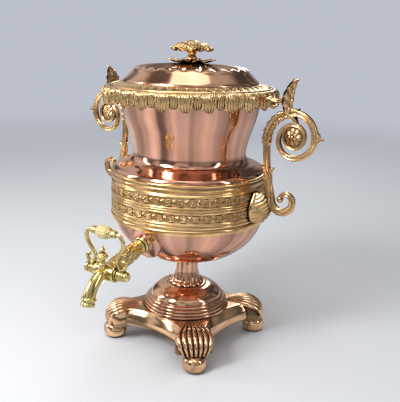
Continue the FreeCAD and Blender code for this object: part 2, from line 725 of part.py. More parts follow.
def handle():
    first, second, third = scroll_centres()
    shoulder_z = SCROLL_TOP_Z - SHOULDER_ARC
    top_x = SCROLL_X - SHOULDER_ARC
    rise = shoulder_z - STEM_FOOT_Z
    lean = STEM_FOOT_X - top_x
    sweep = (rise ** 2 + lean ** 2) / (2 * lean)
    bend = math.degrees(math.asin(rise / sweep))
    pieces = [
        ring_part(SCROLL_X, first, SCROLL_TURN_1, SCROLL_BAND_1, -90, 90),
        ring_part(SCROLL_X, second, SCROLL_TURN_2, SCROLL_BAND_2, 90, 270),
        ring_part(SCROLL_X, third, SCROLL_TURN_3, SCROLL_BAND_3, -90, 90),
        ring_part(SCROLL_X, shoulder_z, SHOULDER_ARC, HANDLE_WIDTH, 90, 180),
        ring_part(top_x + sweep, shoulder_z, sweep, HANDLE_WIDTH, 180, 180 + bend),
        ring_part(STEM_FOOT_X + VOLUTE_TURN_1, STEM_FOOT_Z, VOLUTE_TURN_1, VOLUTE_BAND_1, 180, 360),
        ring_part(STEM_FOOT_X + 2 * VOLUTE_TURN_1 - VOLUTE_TURN_2, STEM_FOOT_Z, VOLUTE_TURN_2,
                  VOLUTE_BAND_2, 0, 180),
        y_disc(SCROLL_EYE, SCROLL_X, third, HANDLE_HALF),
    ]
    inner_end = STEM_FOOT_X + 2 * (VOLUTE_TURN_1 - VOLUTE_TURN_2)
    pieces.append(y_disc(VOLUTE_EYE, inner_end + VOLUTE_EYE / 2, STEM_FOOT_Z + 1, HANDLE_HALF))
    pieces.append(y_disc(HANDLE_WIDTH / 2, STEM_FOOT_X, STEM_FOOT_Z, HANDLE_HALF))
    root = SCROLL_X + SCROLL_TURN_1
    spur = Part.makeCone(2.6, 0.6, SPUR_LENGTH + SCROLL_BAND_1 / 2, V(root, 0, first), V(1, 0, -0.1))
    return pieces[0].fuse(pieces[1:] + [spur]).removeSplitter()


def scroll_rosette(side):
    """A small flower on one face of the scroll's eye."""
    third = scroll_centres()[2]
    dome = Part.makeSphere(ROSETTE_DISC * 1.45, V(0, 0, ROSETTE_HEIGHT - ROSETTE_DISC * 1.45))
    slab = petal_outline(6, ROSETTE_DISC, ROSETTE_DISC * 0.8, 0, ROSETTE_HEIGHT + 1)
    flower = dome.common(slab)
    flower.rotate(ORIGIN, V(1, 0, 0), -90 * side)
    flower.translate(V(SCROLL_X, side * HANDLE_HALF, third))
    return flower


# Bracket between the rim and the scroll, with a standing leaf
def leaf_bracket(handle_shape, rim_shape):
    back = SCROLL_X - 11
    front = SCROLL_X + 3
    low = SCROLL_TOP_Z - 2
    top = BRACKET_LEAF_TOP_Z
    side = [V(back, 0, low), V(front - 4, 0, low), V(front - 1, 0, low + 10), V(front, 0, low + 24),
            V(front - 1.5, 0, top), V(front - 8, 0, low + 24), V(back, 0, low + 12), V(back, 0, low)]
    plate = Part.Face(Part.makePolygon(side))
    half = BRACKET_LEAF_WIDTH / 2
    plate.translate(V(0, -half, 0))
    body = plate.extrude(V(0, 2 * half, 0))
    x0 = back - 1
    left = Part.Arc(V(x0, -half * 0.75, low), V(x0, -half, low + 14), V(x0, 0, top + 0.5)).toShape()
    right = Part.Arc(V(x0, 0, top + 0.5), V(x0, half, low + 14), V(x0, half * 0.75, low)).toShape()
    foot = Part.LineSegment(V(x0, half * 0.75, low), V(x0, -half * 0.75, low)).toShape()
    outline = Part.Face(Part.Wire([left, right, foot])).extrude(V(40, 0, 0))
    leaf = body.common(outline)
    arm = Part.makeBox(back + 3 - (RIM_OUTER - 4), BRACKET_ARM_WIDTH, BRACKET_ARM_HEIGHT,
                       V(RIM_OUTER - 4, -BRACKET_ARM_WIDTH / 2, BRACKET_ARM_Z - BRACKET_ARM_HEIGHT / 2))
    whole = leaf.fuse(arm).cut(handle_shape)
    filled = rim_shape.fuse(rod(RIM_OUTER - 7, SKIRT_TOP_Z - 20, RIM_SEAT_Z))
    skirt_space = tube(SKIRT_RADIUS + 0.1, SKIRT_RADIUS - 10, SKIRT_TOP_Z - 20, SKIRT_TOP_Z)
    hole = x_rod(BRACKET_SCREW_RADIUS + SCREW_GAP, RIM_OUTER - 9, RIM_OUTER + 8, 0, BRACKET_ARM_Z)
    return whole.cut(filled).cut(skirt_space).cut(hole)


def bracket_screw():
    return x_rod(BRACKET_SCREW_RADIUS, RIM_OUTER - 8, RIM_OUTER + 7, 0, BRACKET_ARM_Z)


# Leaf shell that carries the handle's foot on the belly band
def shell_plate(handle_shape):
    middle = V(BELLY_RADIUS + 1, 0, SHELL_PLATE_Z)
    body = ellipsoid(middle, SHELL_PLATE_REACH, SHELL_PLATE_WIDTH, SHELL_PLATE_HALF_HEIGHT)
    ribs = []
    for i in range(-3, 4):
        if i != 0:
            start = V(BELLY_RADIUS + 6, 0, SHELL_PLATE_Z - SHELL_PLATE_HALF_HEIGHT - 6)
            lean = V(0, i * 0.34, 1)
            groove = Part.makeCylinder(1.3, 60, start + V(SHELL_PLATE_REACH * 0.62, 0, 0), lean)
            ribs.append(groove)
    body = body.cut(Part.makeCompound(ribs))
    clear = rod(BELLY_RADIUS + BAND_BODY + 2.0, SHELL_PLATE_Z - 40, SHELL_PLATE_Z + 40)
    body = body.cut(clear).cut(handle_shape)
    hole = x_rod(HANDLE_BOLT_RADIUS + SCREW_GAP, BELLY_RADIUS, BELLY_RADIUS + 16, 0, SHELL_PLATE_Z)
    return max(body.cut(hole).Solids, key=lambda solid: solid.Volume)


def handle_bolt():
    inside = BELLY_RADIUS - COPPER_WALL
    shank = x_rod(HANDLE_BOLT_RADIUS, inside - 1, BELLY_RADIUS + 15, 0, SHELL_PLATE_Z)
    head = x_rod(HANDLE_BOLT_RADIUS * 2, inside - 3.4, inside - 0.4, 0, SHELL_PLATE_Z)
    return shank.fuse(head).removeSplitter()


# Tap
def spout_frame():
    """Centre, start and end angles of the spout's curve, in the YZ plane."""
    start = math.radians(SPOUT_START_ANGLE)
    end = math.radians(SPOUT_START_ANGLE + SPOUT_TURN)
    begin = PLUG_CENTRE + V(0, -BARREL_RADIUS * 0.35, 0)
    centre = begin + V(0, math.sin(start), -math.cos(start)) * SPOUT_CURVE
    finish = centre + V(0, -math.sin(end), math.cos(end)) * SPOUT_CURVE
    heading = V(0, -math.cos(end), -math.sin(end))
    return begin, centre, finish, heading


def spout_bend(radius):
    begin, centre, finish, heading = spout_frame()
    start = math.radians(SPOUT_START_ANGLE)
    along = V(0, -math.cos(start), -math.sin(start))
    face = Part.Face(Part.Wire(Part.makeCircle(radius, begin, along)))
    return face.revolve(centre, V(1, 0, 0), SPOUT_TURN)


def waterway():
    """The passages through the tap, in the order that water takes."""
    begin, centre, finish, heading = spout_frame()
    link = Part.makeCylinder(WATERWAY, (begin - PLUG_CENTRE).Length + 0.5, PLUG_CENTRE,
                             begin - PLUG_CENTRE)
    outlet = Part.makeCylinder(WATERWAY, NOZZLE_LENGTH + 2, finish, heading)
    return [tap_bore(WATERWAY, -TAIL_LENGTH - 12, TAP_PLUG_REACH), link, spout_bend(WATERWAY), outlet]


def tap_body():
    begin, centre, finish, heading = spout_frame()
    reach = TAP_PLUG_REACH
    r = SHANK_RADIUS
    shank = axis_turned([(0, -TAIL_LENGTH), (TAIL_RADIUS, -TAIL_LENGTH), (TAIL_RADIUS, ESCUTCHEON_HEIGHT),
                         (r + 2.2, ESCUTCHEON_HEIGHT), (r + 2.2, ESCUTCHEON_HEIGHT + 2.5),
                         (r - 0.8, ESCUTCHEON_HEIGHT + 4), (r + 1.2, ESCUTCHEON_HEIGHT + 7),
                         (r - 0.4, ESCUTCHEON_HEIGHT + 13), (r + 0.6, reach - 13), (r + 1.0, reach - 8),
                         (r, reach), (0, reach)], TAP_SEAT, TAP_AXIS)
    half = BARREL_HALF_LENGTH
    barrel = axis_turned([(0, -half), (BARREL_RADIUS - 0.8, -half), (BARREL_RADIUS, -half + 1.5),
                          (BARREL_RADIUS, -half + 4), (BARREL_RADIUS - 1, -half + 5.5),
                          (BARREL_RADIUS - 1, half - 5.5), (BARREL_RADIUS, half - 4),
                          (BARREL_RADIUS, half - 1.5), (BARREL_RADIUS - 0.8, half), (0, half)],
                         PLUG_CENTRE, V(1, 0, 0))
    nozzle = axis_turned([(0, -1), (SPOUT_RADIUS - 0.2, -1), (NOZZLE_RADIUS, 1), (NOZZLE_RADIUS, 3),
                          (SPOUT_RADIUS - 0.6, 4), (SPOUT_RADIUS - 0.2, NOZZLE_LENGTH), (0,
                                                                                         NOZZLE_LENGTH)],
                         finish, heading)
    body = shank.fuse(barrel).fuse(spout_bend(SPOUT_RADIUS)).fuse(nozzle)
    for passage in waterway():
        body = body.cut(passage)
    return body.cut(x_rod(PLUG_RADIUS + RUNNING_GAP, -half - 1, half + 1, PLUG_CENTRE.y, PLUG_CENTRE.z))


def tap_escutcheon():
    disc = axis_turned([(TAIL_RADIUS + SCREW_GAP, -14), (ESCUTCHEON_RADIUS, -14),
                        (ESCUTCHEON_RADIUS, 1.5),
                        (ESCUTCHEON_RADIUS - 3, 3.2), (11, 4.6), (10.5, ESCUTCHEON_HEIGHT),
                        (TAIL_RADIUS + SCREW_GAP, ESCUTCHEON_HEIGHT)], TAP_SEAT, TAP_AXIS)
    return disc.cut(bowl_form(0, SEAM_Z)).cut(band_clearance())


def band_clearance():
    return rod(BELLY_RADIUS + BAND_BODY + 3, BAND_BOTTOM_Z - 1, BAND_TOP_Z)


def tap_seal():
    ring = axis_turned([(TAIL_RADIUS + SCREW_GAP, -COPPER_WALL - TAP_SEAL_HEIGHT),
                        (TAP_NUT_RADIUS, -COPPER_WALL - TAP_SEAL_HEIGHT), (TAP_NUT_RADIUS, 4),
                        (TAIL_RADIUS + SCREW_GAP, 4)], TAP_SEAT, TAP_AXIS)
    return ring.common(bowl_cavity())


def tap_nut():
    top = -COPPER_WALL - TAP_SEAL_HEIGHT
    bore = TAIL_RADIUS + SCREW_GAP
    return axis_turned([(bore, top - TAP_NUT_HEIGHT), (TAP_NUT_RADIUS - 1, top - TAP_NUT_HEIGHT),
                        (TAP_NUT_RADIUS, top - TAP_NUT_HEIGHT + 1), (TAP_NUT_RADIUS, top), (bore, top)],
                       TAP_SEAT, TAP_AXIS)


def tap_finial(body):
    base = PLUG_CENTRE + V(0, -7, 0)
    low = BARREL_RADIUS - 5
    urn = axis_turned([(0, low), (3.6, low), (3.0, low + 7), (2.2, low + 9), (3.4, low + 11),
                       (5.8, low + 14),
                       (6.0, low + 16), (4.6, low + 19), (2.2, low + 20.5), (3.0, low + 23), (2.2,
                                                                                              low + 26),
                       (0, low + 28)], base, UP)
    return max(urn.cut(body).cut(x_rod(PLUG_RADIUS + 1, -30, 30, PLUG_CENTRE.y, PLUG_CENTRE.z)).Solids,
               key=lambda solid: solid.CenterOfMass.z)


def about_plug(shape, degrees):
    turned = shape.copy()
    turned.rotate(PLUG_CENTRE, V(1, 0, 0), degrees)
    return turned


def plug_side(side, radius, inner, length):
    """A disc on the plug's axis, on one side."""
    x0 = inner if side > 0 else -inner - length
    return x_rod(radius, x0, x0 + length, PLUG_CENTRE.y, PLUG_CENTRE.z)


BOSS_INNER = BARREL_HALF_LENGTH + SEAT_GAP + WASHER_LENGTH


def tap_plug():
    half = BARREL_HALF_LENGTH
    end = BOSS_INNER + BOSS_LENGTH + CAP_LENGTH / 2
    plug = x_rod(PLUG_RADIUS, -half, half, PLUG_CENTRE.y, PLUG_CENTRE.z)
    plug = plug.fuse(x_rod(PLUG_END_RADIUS, -end, end, PLUG_CENTRE.y, PLUG_CENTRE.z)).removeSplitter()
    port = Part.makeCylinder(WATERWAY, 4 * PLUG_RADIUS, PLUG_CENTRE - TAP_AXIS * 2 * PLUG_RADIUS,
                             TAP_AXIS)
    return plug.cut(about_plug(port, -TAP_OPEN_ANGLE))


def plug_washers():
    pieces = []
    for side in (-1, 1):
        disc = plug_side(side, BOSS_RADIUS + 0.8, BARREL_HALF_LENGTH + SEAT_GAP, WASHER_LENGTH)
        pieces.append(disc.cut(plug_side(side, PLUG_END_RADIUS, 0, 60)))
    return pieces


def lyre_arm(side):
    """One arm: boss, waist, belly and shoulder, as round bars with ball joints."""
    c = PLUG_CENTRE
    h = LYRE_HEIGHT
    route = [V(side * (BOSS_INNER + BOSS_LENGTH / 2), c.y, c.z + BOSS_RADIUS - 1),
             V(side * LYRE_WAIST_X, c.y, c.z + h * 0.30),
             V(side * LYRE_WAIST_X * 1.08, c.y, c.z + h * 0.42), V(side * LYRE_BELLY_X, c.y,
                                                                   c.z + h * 0.62),
             V(side * LYRE_BELLY_X, c.y,
               c.z + h * 0.80), V(side * (GRIP_LENGTH / 2 + FERRULE_LENGTH - 2), c.y, c.z + h)]
    pieces = []
    for a, b in zip(route, route[1:]):
        pieces.append(Part.makeCylinder(LYRE_ARM_RADIUS, (b - a).Length, a, b - a))
    for point in route[1:-1]:
        pieces.append(Part.makeSphere(LYRE_ARM_RADIUS, point))
    boss = plug_side(side, BOSS_RADIUS, BOSS_INNER, BOSS_LENGTH)
    pieces.append(Part.makeSphere(BOSS_LENGTH * 0.45, route[0]))
    arm = boss.fuse(pieces)
    arm = arm.cut(plug_side(side, PLUG_END_RADIUS, 0, 60))
    inner = side * (GRIP_LENGTH / 2 + FERRULE_LENGTH)
    keep_out = x_rod(FERRULE_RADIUS + 0.6, -abs(inner), abs(inner), c.y, c.z + h)
    return max(arm.cut(keep_out).Solids, key=lambda solid: solid.Volume)


def grip_spindle():
    c = PLUG_CENTRE
    length = GRIP_LENGTH / 2 + FERRULE_LENGTH
    return x_rod(1.6, -length, length, c.y, c.z + LYRE_HEIGHT)


def ferrule(side):
    c = PLUG_CENTRE
    x0 = GRIP_LENGTH / 2
    length = FERRULE_LENGTH
    base = V(side * x0, c.y, c.z + LYRE_HEIGHT)
    profile = [(1.6, 0), (FERRULE_RADIUS, 0), (FERRULE_RADIUS, 1.4), (FERRULE_RADIUS - 1.2, 2.4),
               (FERRULE_RADIUS - 0.4, 3.8), (FERRULE_RADIUS - 1.6, length), (1.6, length)]
    return axis_turned(profile, base, V(side, 0, 0))


def tap_grip():
    """Ribbed barrel-shaped grip between the ferrules."""
    c = PLUG_CENTRE
    half = GRIP_LENGTH / 2
    profile = [(1.6, -half)]
    steps = 2 * GRIP_RIBS
    for i in range(steps + 1):
        along = -half + GRIP_LENGTH * i / steps
        swell = 1 - 0.42 * (along / half) ** 2
        rib = 0.0 if i % 2 == 0 else 0.7
        profile.append(((GRIP_RADIUS - 0.7) * swell + rib, along))
    profile.append((1.6, half))
    return axis_turned(profile, V(0, c.y, c.z + LYRE_HEIGHT), V(1, 0, 0))


def plug_cap_nut():
    base = V(BOSS_INNER + BOSS_LENGTH, PLUG_CENTRE.y, PLUG_CENTRE.z)
    return axis_turned([(PLUG_END_RADIUS, 0), (5.6, 0), (5.8, 1.2), (5.0, 2.2), (5.2, 3.4),
                        (3.8, CAP_LENGTH - 1),
                        (1.2, CAP_LENGTH), (0, CAP_LENGTH), (0, CAP_LENGTH / 2), (PLUG_END_RADIUS,
                                                                                  CAP_LENGTH / 2)],
                       base, V(1, 0, 0))


def plug_knob():
    base = V(-BOSS_INNER - BOSS_LENGTH, PLUG_CENTRE.y, PLUG_CENTRE.z)
    return axis_turned([(PLUG_END_RADIUS, 0), (4.6, 0), (4.2, 1.4), (5.4, 3.2), (5.0, 5.4),
                        (2.8, CAP_LENGTH + 0.6),
                        (0, CAP_LENGTH + 1), (0, CAP_LENGTH / 2), (PLUG_END_RADIUS, CAP_LENGTH / 2)],
                       base, V(-1, 0, 0))


# Heater in the middle of the vessel
def bowl_seal():
    ring = tube(BOWL_SEAL_RADIUS, ROD_RADIUS + SCREW_GAP, BOWL_BOTTOM_Z, SLEEVE_BASE_Z)
    return ring.common(bowl_cavity())


def heater_sleeve():
    inner = SLEEVE_RADIUS - SLEEVE_WALL
    body = rod(SLEEVE_RADIUS, SLEEVE_BASE_Z, SLEEVE_TOP_Z).cut(rod(inner, ROD_HEAD_Z, SLEEVE_TOP_Z))
    return body.cut(rod(ROD_RADIUS + SCREW_GAP, SLEEVE_BASE_Z, ROD_HEAD_Z))


def iron_slug():
    z = SLUG_BASE_Z
    top = z + SLUG_HEIGHT
    return revolve([(0, z), (SLUG_RADIUS - 1.5, z), (SLUG_RADIUS, z + 1.5), (SLUG_RADIUS, top - 1.5),
                    (SLUG_RADIUS - 1.5, top), (0, top)])


def slug_eye():
    top = SLUG_BASE_Z + SLUG_HEIGHT
    ring = Part.makeTorus(SLUG_EYE_RADIUS, SLUG_EYE_WIRE, V(0, 0, top + SLUG_EYE_RADIUS + 2.2),
                          V(0, 1, 0))
    foot = rod(4.0, top, top + 2.4)
    return ring.fuse(foot)


def sleeve_cover():
    z = SLEEVE_TOP_Z + SEAT_GAP
    plug = SLEEVE_RADIUS - SLEEVE_WALL - COVER_PLUG_GAP
    return revolve([(0, SLEEVE_TOP_Z - COVER_PLUG_DEPTH), (plug, SLEEVE_TOP_Z - COVER_PLUG_DEPTH),
                    (plug, z),
                    (COVER_RADIUS, z), (COVER_RADIUS, z + COVER_HEIGHT - 0.8), (COVER_RADIUS - 2,
                                                                                z + COVER_HEIGHT),
                    (0, z + COVER_HEIGHT)])


def cover_knob():
    z = SLEEVE_TOP_Z + SEAT_GAP + COVER_HEIGHT
    h = COVER_KNOB_HEIGHT
    r = COVER_KNOB_RADIUS
    return revolve([(0, z), (r, z), (r - 1, z + 1.2), (r * 0.5, z + h * 0.4), (r - 0.4, z + h * 0.62),
                    (r, z + h * 0.76), (r - 1, z + h * 0.92), (r * 0.5, z + h), (0, z + h)])


def build():
    os.makedirs("parts", exist_ok=True)
    right_handle = handle()
    rim = mouth_rim()
    body = tap_body()
    bracket = leaf_bracket(right_handle, rim)
    plate = shell_plate(right_handle)
    bolt = handle_bolt()
    screw = bracket_screw()
    flowers = [scroll_rosette(-1), scroll_rosette(1)]
    save("ball_feet", Part.makeCompound(quarter_copies(ball_foot())))
    save("foot_screws", Part.makeCompound(quarter_copies(foot_screw())))
    save("plinth", plinth())
    save("corner_castings", Part.makeCompound(quarter_copies(corner_casting())))
    save("pedestal_dome", pedestal_dome())
    save("stem", stem())
    save("tie_rod", tie_rod())
    save("base_washer", base_washer())
    save("base_nut", base_nut())
    save("lower_bowl", lower_bowl())
    save("belly_band", belly_band())
    save("vessel_neck", vessel_neck())
    save("mouth_rim", rim)
    save("leaf_skirt", leaf_skirt())
    save("handle_right", right_handle)
    save("handle_left", mirrored(right_handle))
    save("scroll_rosettes", Part.makeCompound(flowers + [mirrored(one) for one in flowers]))
    save("leaf_bracket_right", bracket)
    save("leaf_bracket_left", mirrored(bracket))
    save("shell_plate_right", plate)
    save("shell_plate_left", mirrored(plate))
    save("handle_bolts", Part.makeCompound([bolt, mirrored(bolt)]))
    save("bracket_screws", Part.makeCompound([screw, mirrored(screw)]))
    save("tap_body", tap_turned(body))
    save("tap_escutcheon", tap_turned(tap_escutcheon()))
    save("tap_seal", tap_turned(tap_seal()))
    save("tap_nut", tap_turned(tap_nut()))
    save("tap_finial", tap_turned(tap_finial(body)))
    save("tap_plug", tap_turned(tap_plug()))
    save("plug_washers",
         tap_turned(Part.makeCompound([about_plug(one, LYRE_LEAN) for one in plug_washers()])))
    save("lyre_arms",
         tap_turned(Part.makeCompound([about_plug(lyre_arm(side), LYRE_LEAN) for side in (-1, 1)])))
    save("grip_spindle", tap_turned(about_plug(grip_spindle(), LYRE_LEAN)))
    save("grip_ferrules",
         tap_turned(Part.makeCompound([about_plug(ferrule(side), LYRE_LEAN) for side in (-1, 1)])))
    save("tap_grip", tap_turned(about_plug(tap_grip(), LYRE_LEAN)))
    save("plug_cap_nut", tap_turned(plug_cap_nut()))
    save("plug_knob", tap_turned(plug_knob()))
    save("lid_dome", lid_dome())
    save("lid_flange", lid_flange())
    save("lid_border", lid_border())
    save("lid_rosette", lid_rosette())
    save("finial_stem", finial_stem())
    save("finial_flower", finial_flower())
    save("finial_stud", finial_stud())
    save("finial_nut", finial_nut())
    save("bowl_seal", bowl_seal())
    save("heater_sleeve", heater_sleeve())
    save("sleeve_cover", sleeve_cover())
    save("cover_knob", cover_knob())
    save("iron_slug", iron_slug())
    save("slug_eye", slug_eye())


build()
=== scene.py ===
import json
import math

import bpy
import numpy as np
from mathutils import Matrix, Vector

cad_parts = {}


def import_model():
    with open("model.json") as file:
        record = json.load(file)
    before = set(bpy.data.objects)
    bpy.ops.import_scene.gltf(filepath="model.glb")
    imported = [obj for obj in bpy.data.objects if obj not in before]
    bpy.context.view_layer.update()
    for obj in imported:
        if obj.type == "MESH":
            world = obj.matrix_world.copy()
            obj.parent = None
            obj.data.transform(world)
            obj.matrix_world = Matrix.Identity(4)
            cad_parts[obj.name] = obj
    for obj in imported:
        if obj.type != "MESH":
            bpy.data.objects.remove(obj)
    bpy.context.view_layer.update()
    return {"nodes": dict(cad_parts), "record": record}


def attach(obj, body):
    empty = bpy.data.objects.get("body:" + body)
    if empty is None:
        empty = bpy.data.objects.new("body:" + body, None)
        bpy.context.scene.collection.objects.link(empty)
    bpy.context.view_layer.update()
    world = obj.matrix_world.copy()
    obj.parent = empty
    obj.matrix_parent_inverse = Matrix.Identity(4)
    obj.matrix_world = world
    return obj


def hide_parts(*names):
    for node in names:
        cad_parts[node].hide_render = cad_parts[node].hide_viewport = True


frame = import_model()

MM = 0.001
WELD_WITHIN = 0.02 * MM
TAU = 2 * math.pi
SIDES = (("right", 1), ("left", -1))

# Sizes of the frame, in millimetres, after the tap's turn about the urn
TAP_TURN = math.radians(5)
BELLY_R = 92.0
BAND_BODY_R = 94.0
BAND_LOW = 166.0
BAND_HIGH = 224.0
FOOT_AT = 65.0
VESSEL_WALL = 1.6
ROD_HOLE = 4.2
LID_WALL = 1.4
STUD_HOLE = 2.6

# How often the ornament repeats round the urn
VINE_CELLS = 44
RIM_LEAVES = 26
LID_LEAVES = 52
LID_SWIRLS = 24


def smooth(points, per=8):
    """Catmull-Rom curve through 2-D or 3-D points. A point given twice makes a corner."""
    points = np.array(points, float)
    out = []
    for i in range(len(points) - 1):
        p1 = points[i]
        p2 = points[i + 1]
        if np.allclose(p1, p2):
            continue
        p0 = points[i - 1] if i > 0 and not np.allclose(points[i - 1], p1) else p1
        p3 = points[i + 2] if i + 2 < len(points) and not np.allclose(points[i + 2], p2) else p2
        for k in range(per):
            t = k / per
            out.append(0.5 * (2 * p1 + (p2 - p0) * t + (2 * p0 - 5 * p1 + 4 * p2 - p3) * t ** 2
                + (3 * p1 - p0 - 3 * p2 + p3) * t ** 3))
    out.append(points[-1])
    return np.array(out)


def grid_faces(nu, nv, wrap_u, wrap_v):
    """Quads of a grid of nu by nv points, wrapped round where asked."""
    faces = []
    for i in range(nu if wrap_u else nu - 1):
        a = i * nv
        b = ((i + 1) % nu) * nv
        for j in range(nv if wrap_v else nv - 1):
            k = (j + 1) % nv
            faces.append((a + j, b + j, b + k, a + k))
    return faces


class Pile:
    """Collects several surfaces, in millimetres, into one mesh."""

    def __init__(self):
        self.verts = []
        self.faces = []
        self.count = 0

    def add(self, verts, faces, place=None):
        verts = np.asarray(verts, float).reshape(-1, 3)
        if place is not None:
            verts = verts @ np.array(place.to_3x3()).T + np.array(place.translation)
        self.verts.append(verts)
        self.faces += [tuple(i + self.count for i in face) for face in faces]
        self.count += len(verts)

    def join(self, other, place=None):
        self.add(np.concatenate(other.verts), other.faces, place)

    def sided(self, side):
        """The same surfaces, mirrored in X when side is -1."""
        faces = self.faces if side > 0 else [tuple(reversed(face)) for face in self.faces]
        one = Pile()
        one.add(np.concatenate(self.verts) * (side, 1, 1), faces)
        return one

    def grid(self, points, wrap_u=False, wrap_v=False, place=None):
        points = np.asarray(points, float)
        nu, nv = points.shape[:2]
        self.add(points, grid_faces(nu, nv, wrap_u, wrap_v), place)

    def lathe(self, profile, segments=96, change=None, place=None, closed=False):
        """A form turned about +Z from (radius, height) points, which change() may reshape by angle."""
        profile = np.asarray(profile, float)
        angle = np.linspace(0, TAU, segments, endpoint=False)[:, None]
        r = np.repeat(profile[None, :, 0], segments, 0)
        z = np.repeat(profile[None, :, 1], segments, 0)
        if change is not None:
            r, z = change(angle, r, z)
        points = np.stack([r * np.cos(angle), r * np.sin(angle), z], -1)
        self.grid(points, wrap_u=True, wrap_v=closed, place=place)

    def ball(self, centre, radius, squash, count):
        place = Matrix.Translation(Vector(centre))
        turn = np.linspace(-math.pi / 2, math.pi / 2, count)
        outline = np.stack([radius * np.cos(turn), radius * squash * np.sin(turn)], -1)
        self.lathe(outline, 2 * count, place=place)

    def tube(self, path, radius, sides):
        """A round bar along 3-D points; radius may be one value or one for each point."""
        path = np.asarray(path, float)
        radius = np.broadcast_to(radius, len(path)).astype(float)
        tangent = np.gradient(path, axis=0)
        tangent /= np.linalg.norm(tangent, axis=1)[:, None]
        normal = np.cross(tangent[0], (0.31, 0.93, 0.17))
        rings = []
        angle = np.linspace(0, TAU, sides, endpoint=False)
        for i, place in enumerate(path):
            normal -= tangent[i] * np.dot(normal, tangent[i])
            normal /= np.linalg.norm(normal)
            side = np.cross(tangent[i], normal)
            spoke = np.cos(angle)[:, None] * normal + np.sin(angle)[:, None] * side
            rings.append(place + radius[i] * spoke)
        rings = [np.repeat(path[:1], sides, 0)] + rings + [np.repeat(path[-1:], sides, 0)]
        self.grid(np.array(rings), wrap_v=True)

    def piece(self, name, material, body, slot, replaces=(), thick=0.0, mirror=False):
        verts = np.concatenate(self.verts)
        faces = self.faces
        if mirror:
            faces = faces + [tuple(i + len(verts) for i in reversed(face)) for face in faces]
            verts = np.concatenate([verts, verts * (-1, 1, 1)])
        mesh = bpy.data.meshes.new(name)
        mesh.from_pydata([tuple(v) for v in verts * MM], [], faces)
        mesh.validate()
        obj = bpy.data.objects.new(name, mesh)
        bpy.context.scene.collection.objects.link(obj)
        weld = obj.modifiers.new("weld", "WELD")
        weld.merge_threshold = WELD_WITHIN
        for polygon in mesh.polygons:
            polygon.use_smooth = True
        if thick:
            solid = obj.modifiers.new("thickness", "SOLIDIFY")
            solid.thickness = thick * MM
            solid.offset = -1.0
        mesh.materials.append(material)
        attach(obj, body)
        if replaces:
            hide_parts(*replaces)
        return obj


# Materials
def node_of(tree, kind, **values):
    node = tree.nodes.new(kind)
    for name, value in values.items():
        if name in node.inputs:
            node.inputs[name].default_value = value
        else:
            setattr(node, name, value)
    return node


def fresh_material(name):
    material = bpy.data.materials.new(name)
    material.use_nodes = True
    return material, material.node_tree, material.node_tree.nodes["Principled BSDF"]


def noise(tree, place, **values):
    """A noise texture's value at a place."""
    node = node_of(tree, "ShaderNodeTexNoise", **values)
    tree.links.new(place, node.inputs["Vector"])
    return node.outputs["Fac"]


def remap(tree, source, source_range=(0, 1), result_range=(0, 1), **settings):
    """A value carried from one range to another."""
    node = node_of(tree, "ShaderNodeMapRange", **settings)
    names = ("From Min", "From Max", "To Min", "To Max")
    for name, value in zip(names, (*source_range, *result_range)):
        node.inputs[name].default_value = value
    tree.links.new(source, node.inputs["Value"])
    return node.outputs["Result"]


def blend(tree, factor, first, second):
    """A colour between two ends, each a colour or another node's output."""
    node = node_of(tree, "ShaderNodeMix", data_type="RGBA")
    tree.links.new(factor, node.inputs["Factor"])
    for name, end in (("A", first), ("B", second)):
        if isinstance(end, tuple):
            node.inputs[name].default_value = (*end, 1)
        else:
            tree.links.new(end, node.inputs[name])
    return node.outputs["Result"]


def combine(tree, operation, first, second):
    node = node_of(tree, "ShaderNodeMath", operation=operation)
    tree.links.new(first, node.inputs[0])
    tree.links.new(second, node.inputs[1])
    return node.outputs["Value"]


def openness(tree, reach):
    """1 in the open, and less in recesses narrower than the reach."""
    node = node_of(tree, "ShaderNodeAmbientOcclusion", samples=8)
    node.inputs["Distance"].default_value = reach
    return node.outputs["AO"]


def metal(name, colour, tarnish, dark, gloss, recess=0.0, dents=0.0, grain=0.0, tarnish_size=22.0):
    """Polished metal: cloudy tarnish, painted shade and patina in the recesses, soft dents and a fine
    grain.
    """
    material, tree, shader = fresh_material(name)
    link = tree.links.new
    shader.inputs["Metallic"].default_value = 1.0
    place = node_of(tree, "ShaderNodeTexCoord").outputs["Object"]
    cloud = noise(tree, place, Scale=tarnish_size, Detail=5.0, Roughness=0.62)
    shade = blend(tree, remap(tree, cloud, (0.36, 0.74)), colour, tarnish)
    fine = noise(tree, place, Scale=tarnish_size * 9, Detail=4.0, Roughness=0.6)
    rough = remap(tree, fine, (0, 1), (gloss * 0.7, gloss * 1.6 + 0.02))
    if recess:
        # Painted shade with patina: the colour darkens to the dark colour in recesses, by ambient
        # occlusion, and grows rougher there
        clear_of_shade_and_patina = remap(tree, openness(tree, recess * MM), (0.54, 0.96))
        shade = blend(tree, clear_of_shade_and_patina, dark, shade)
        rough = combine(tree, "ADD", rough, remap(tree, clear_of_shade_and_patina, (0, 1), (0.55, 0.0)))
    link(shade, shader.inputs["Base Color"])
    link(rough, shader.inputs["Roughness"])
    normal = None
    for strength, scale, distance in ((dents, 34.0, 0.0009), (grain, 900.0, 0.00006)):
        if not strength:
            continue
        wave = noise(tree, place, Scale=scale, Detail=2.0, Roughness=0.5)
        bump = node_of(tree, "ShaderNodeBump", Strength=strength, Distance=distance)
        link(wave, bump.inputs["Height"])
        if normal is not None:
            link(normal, bump.inputs["Normal"])
        normal = bump.outputs["Normal"]
    if normal is not None:
        link(normal, shader.inputs["Normal"])
    return material


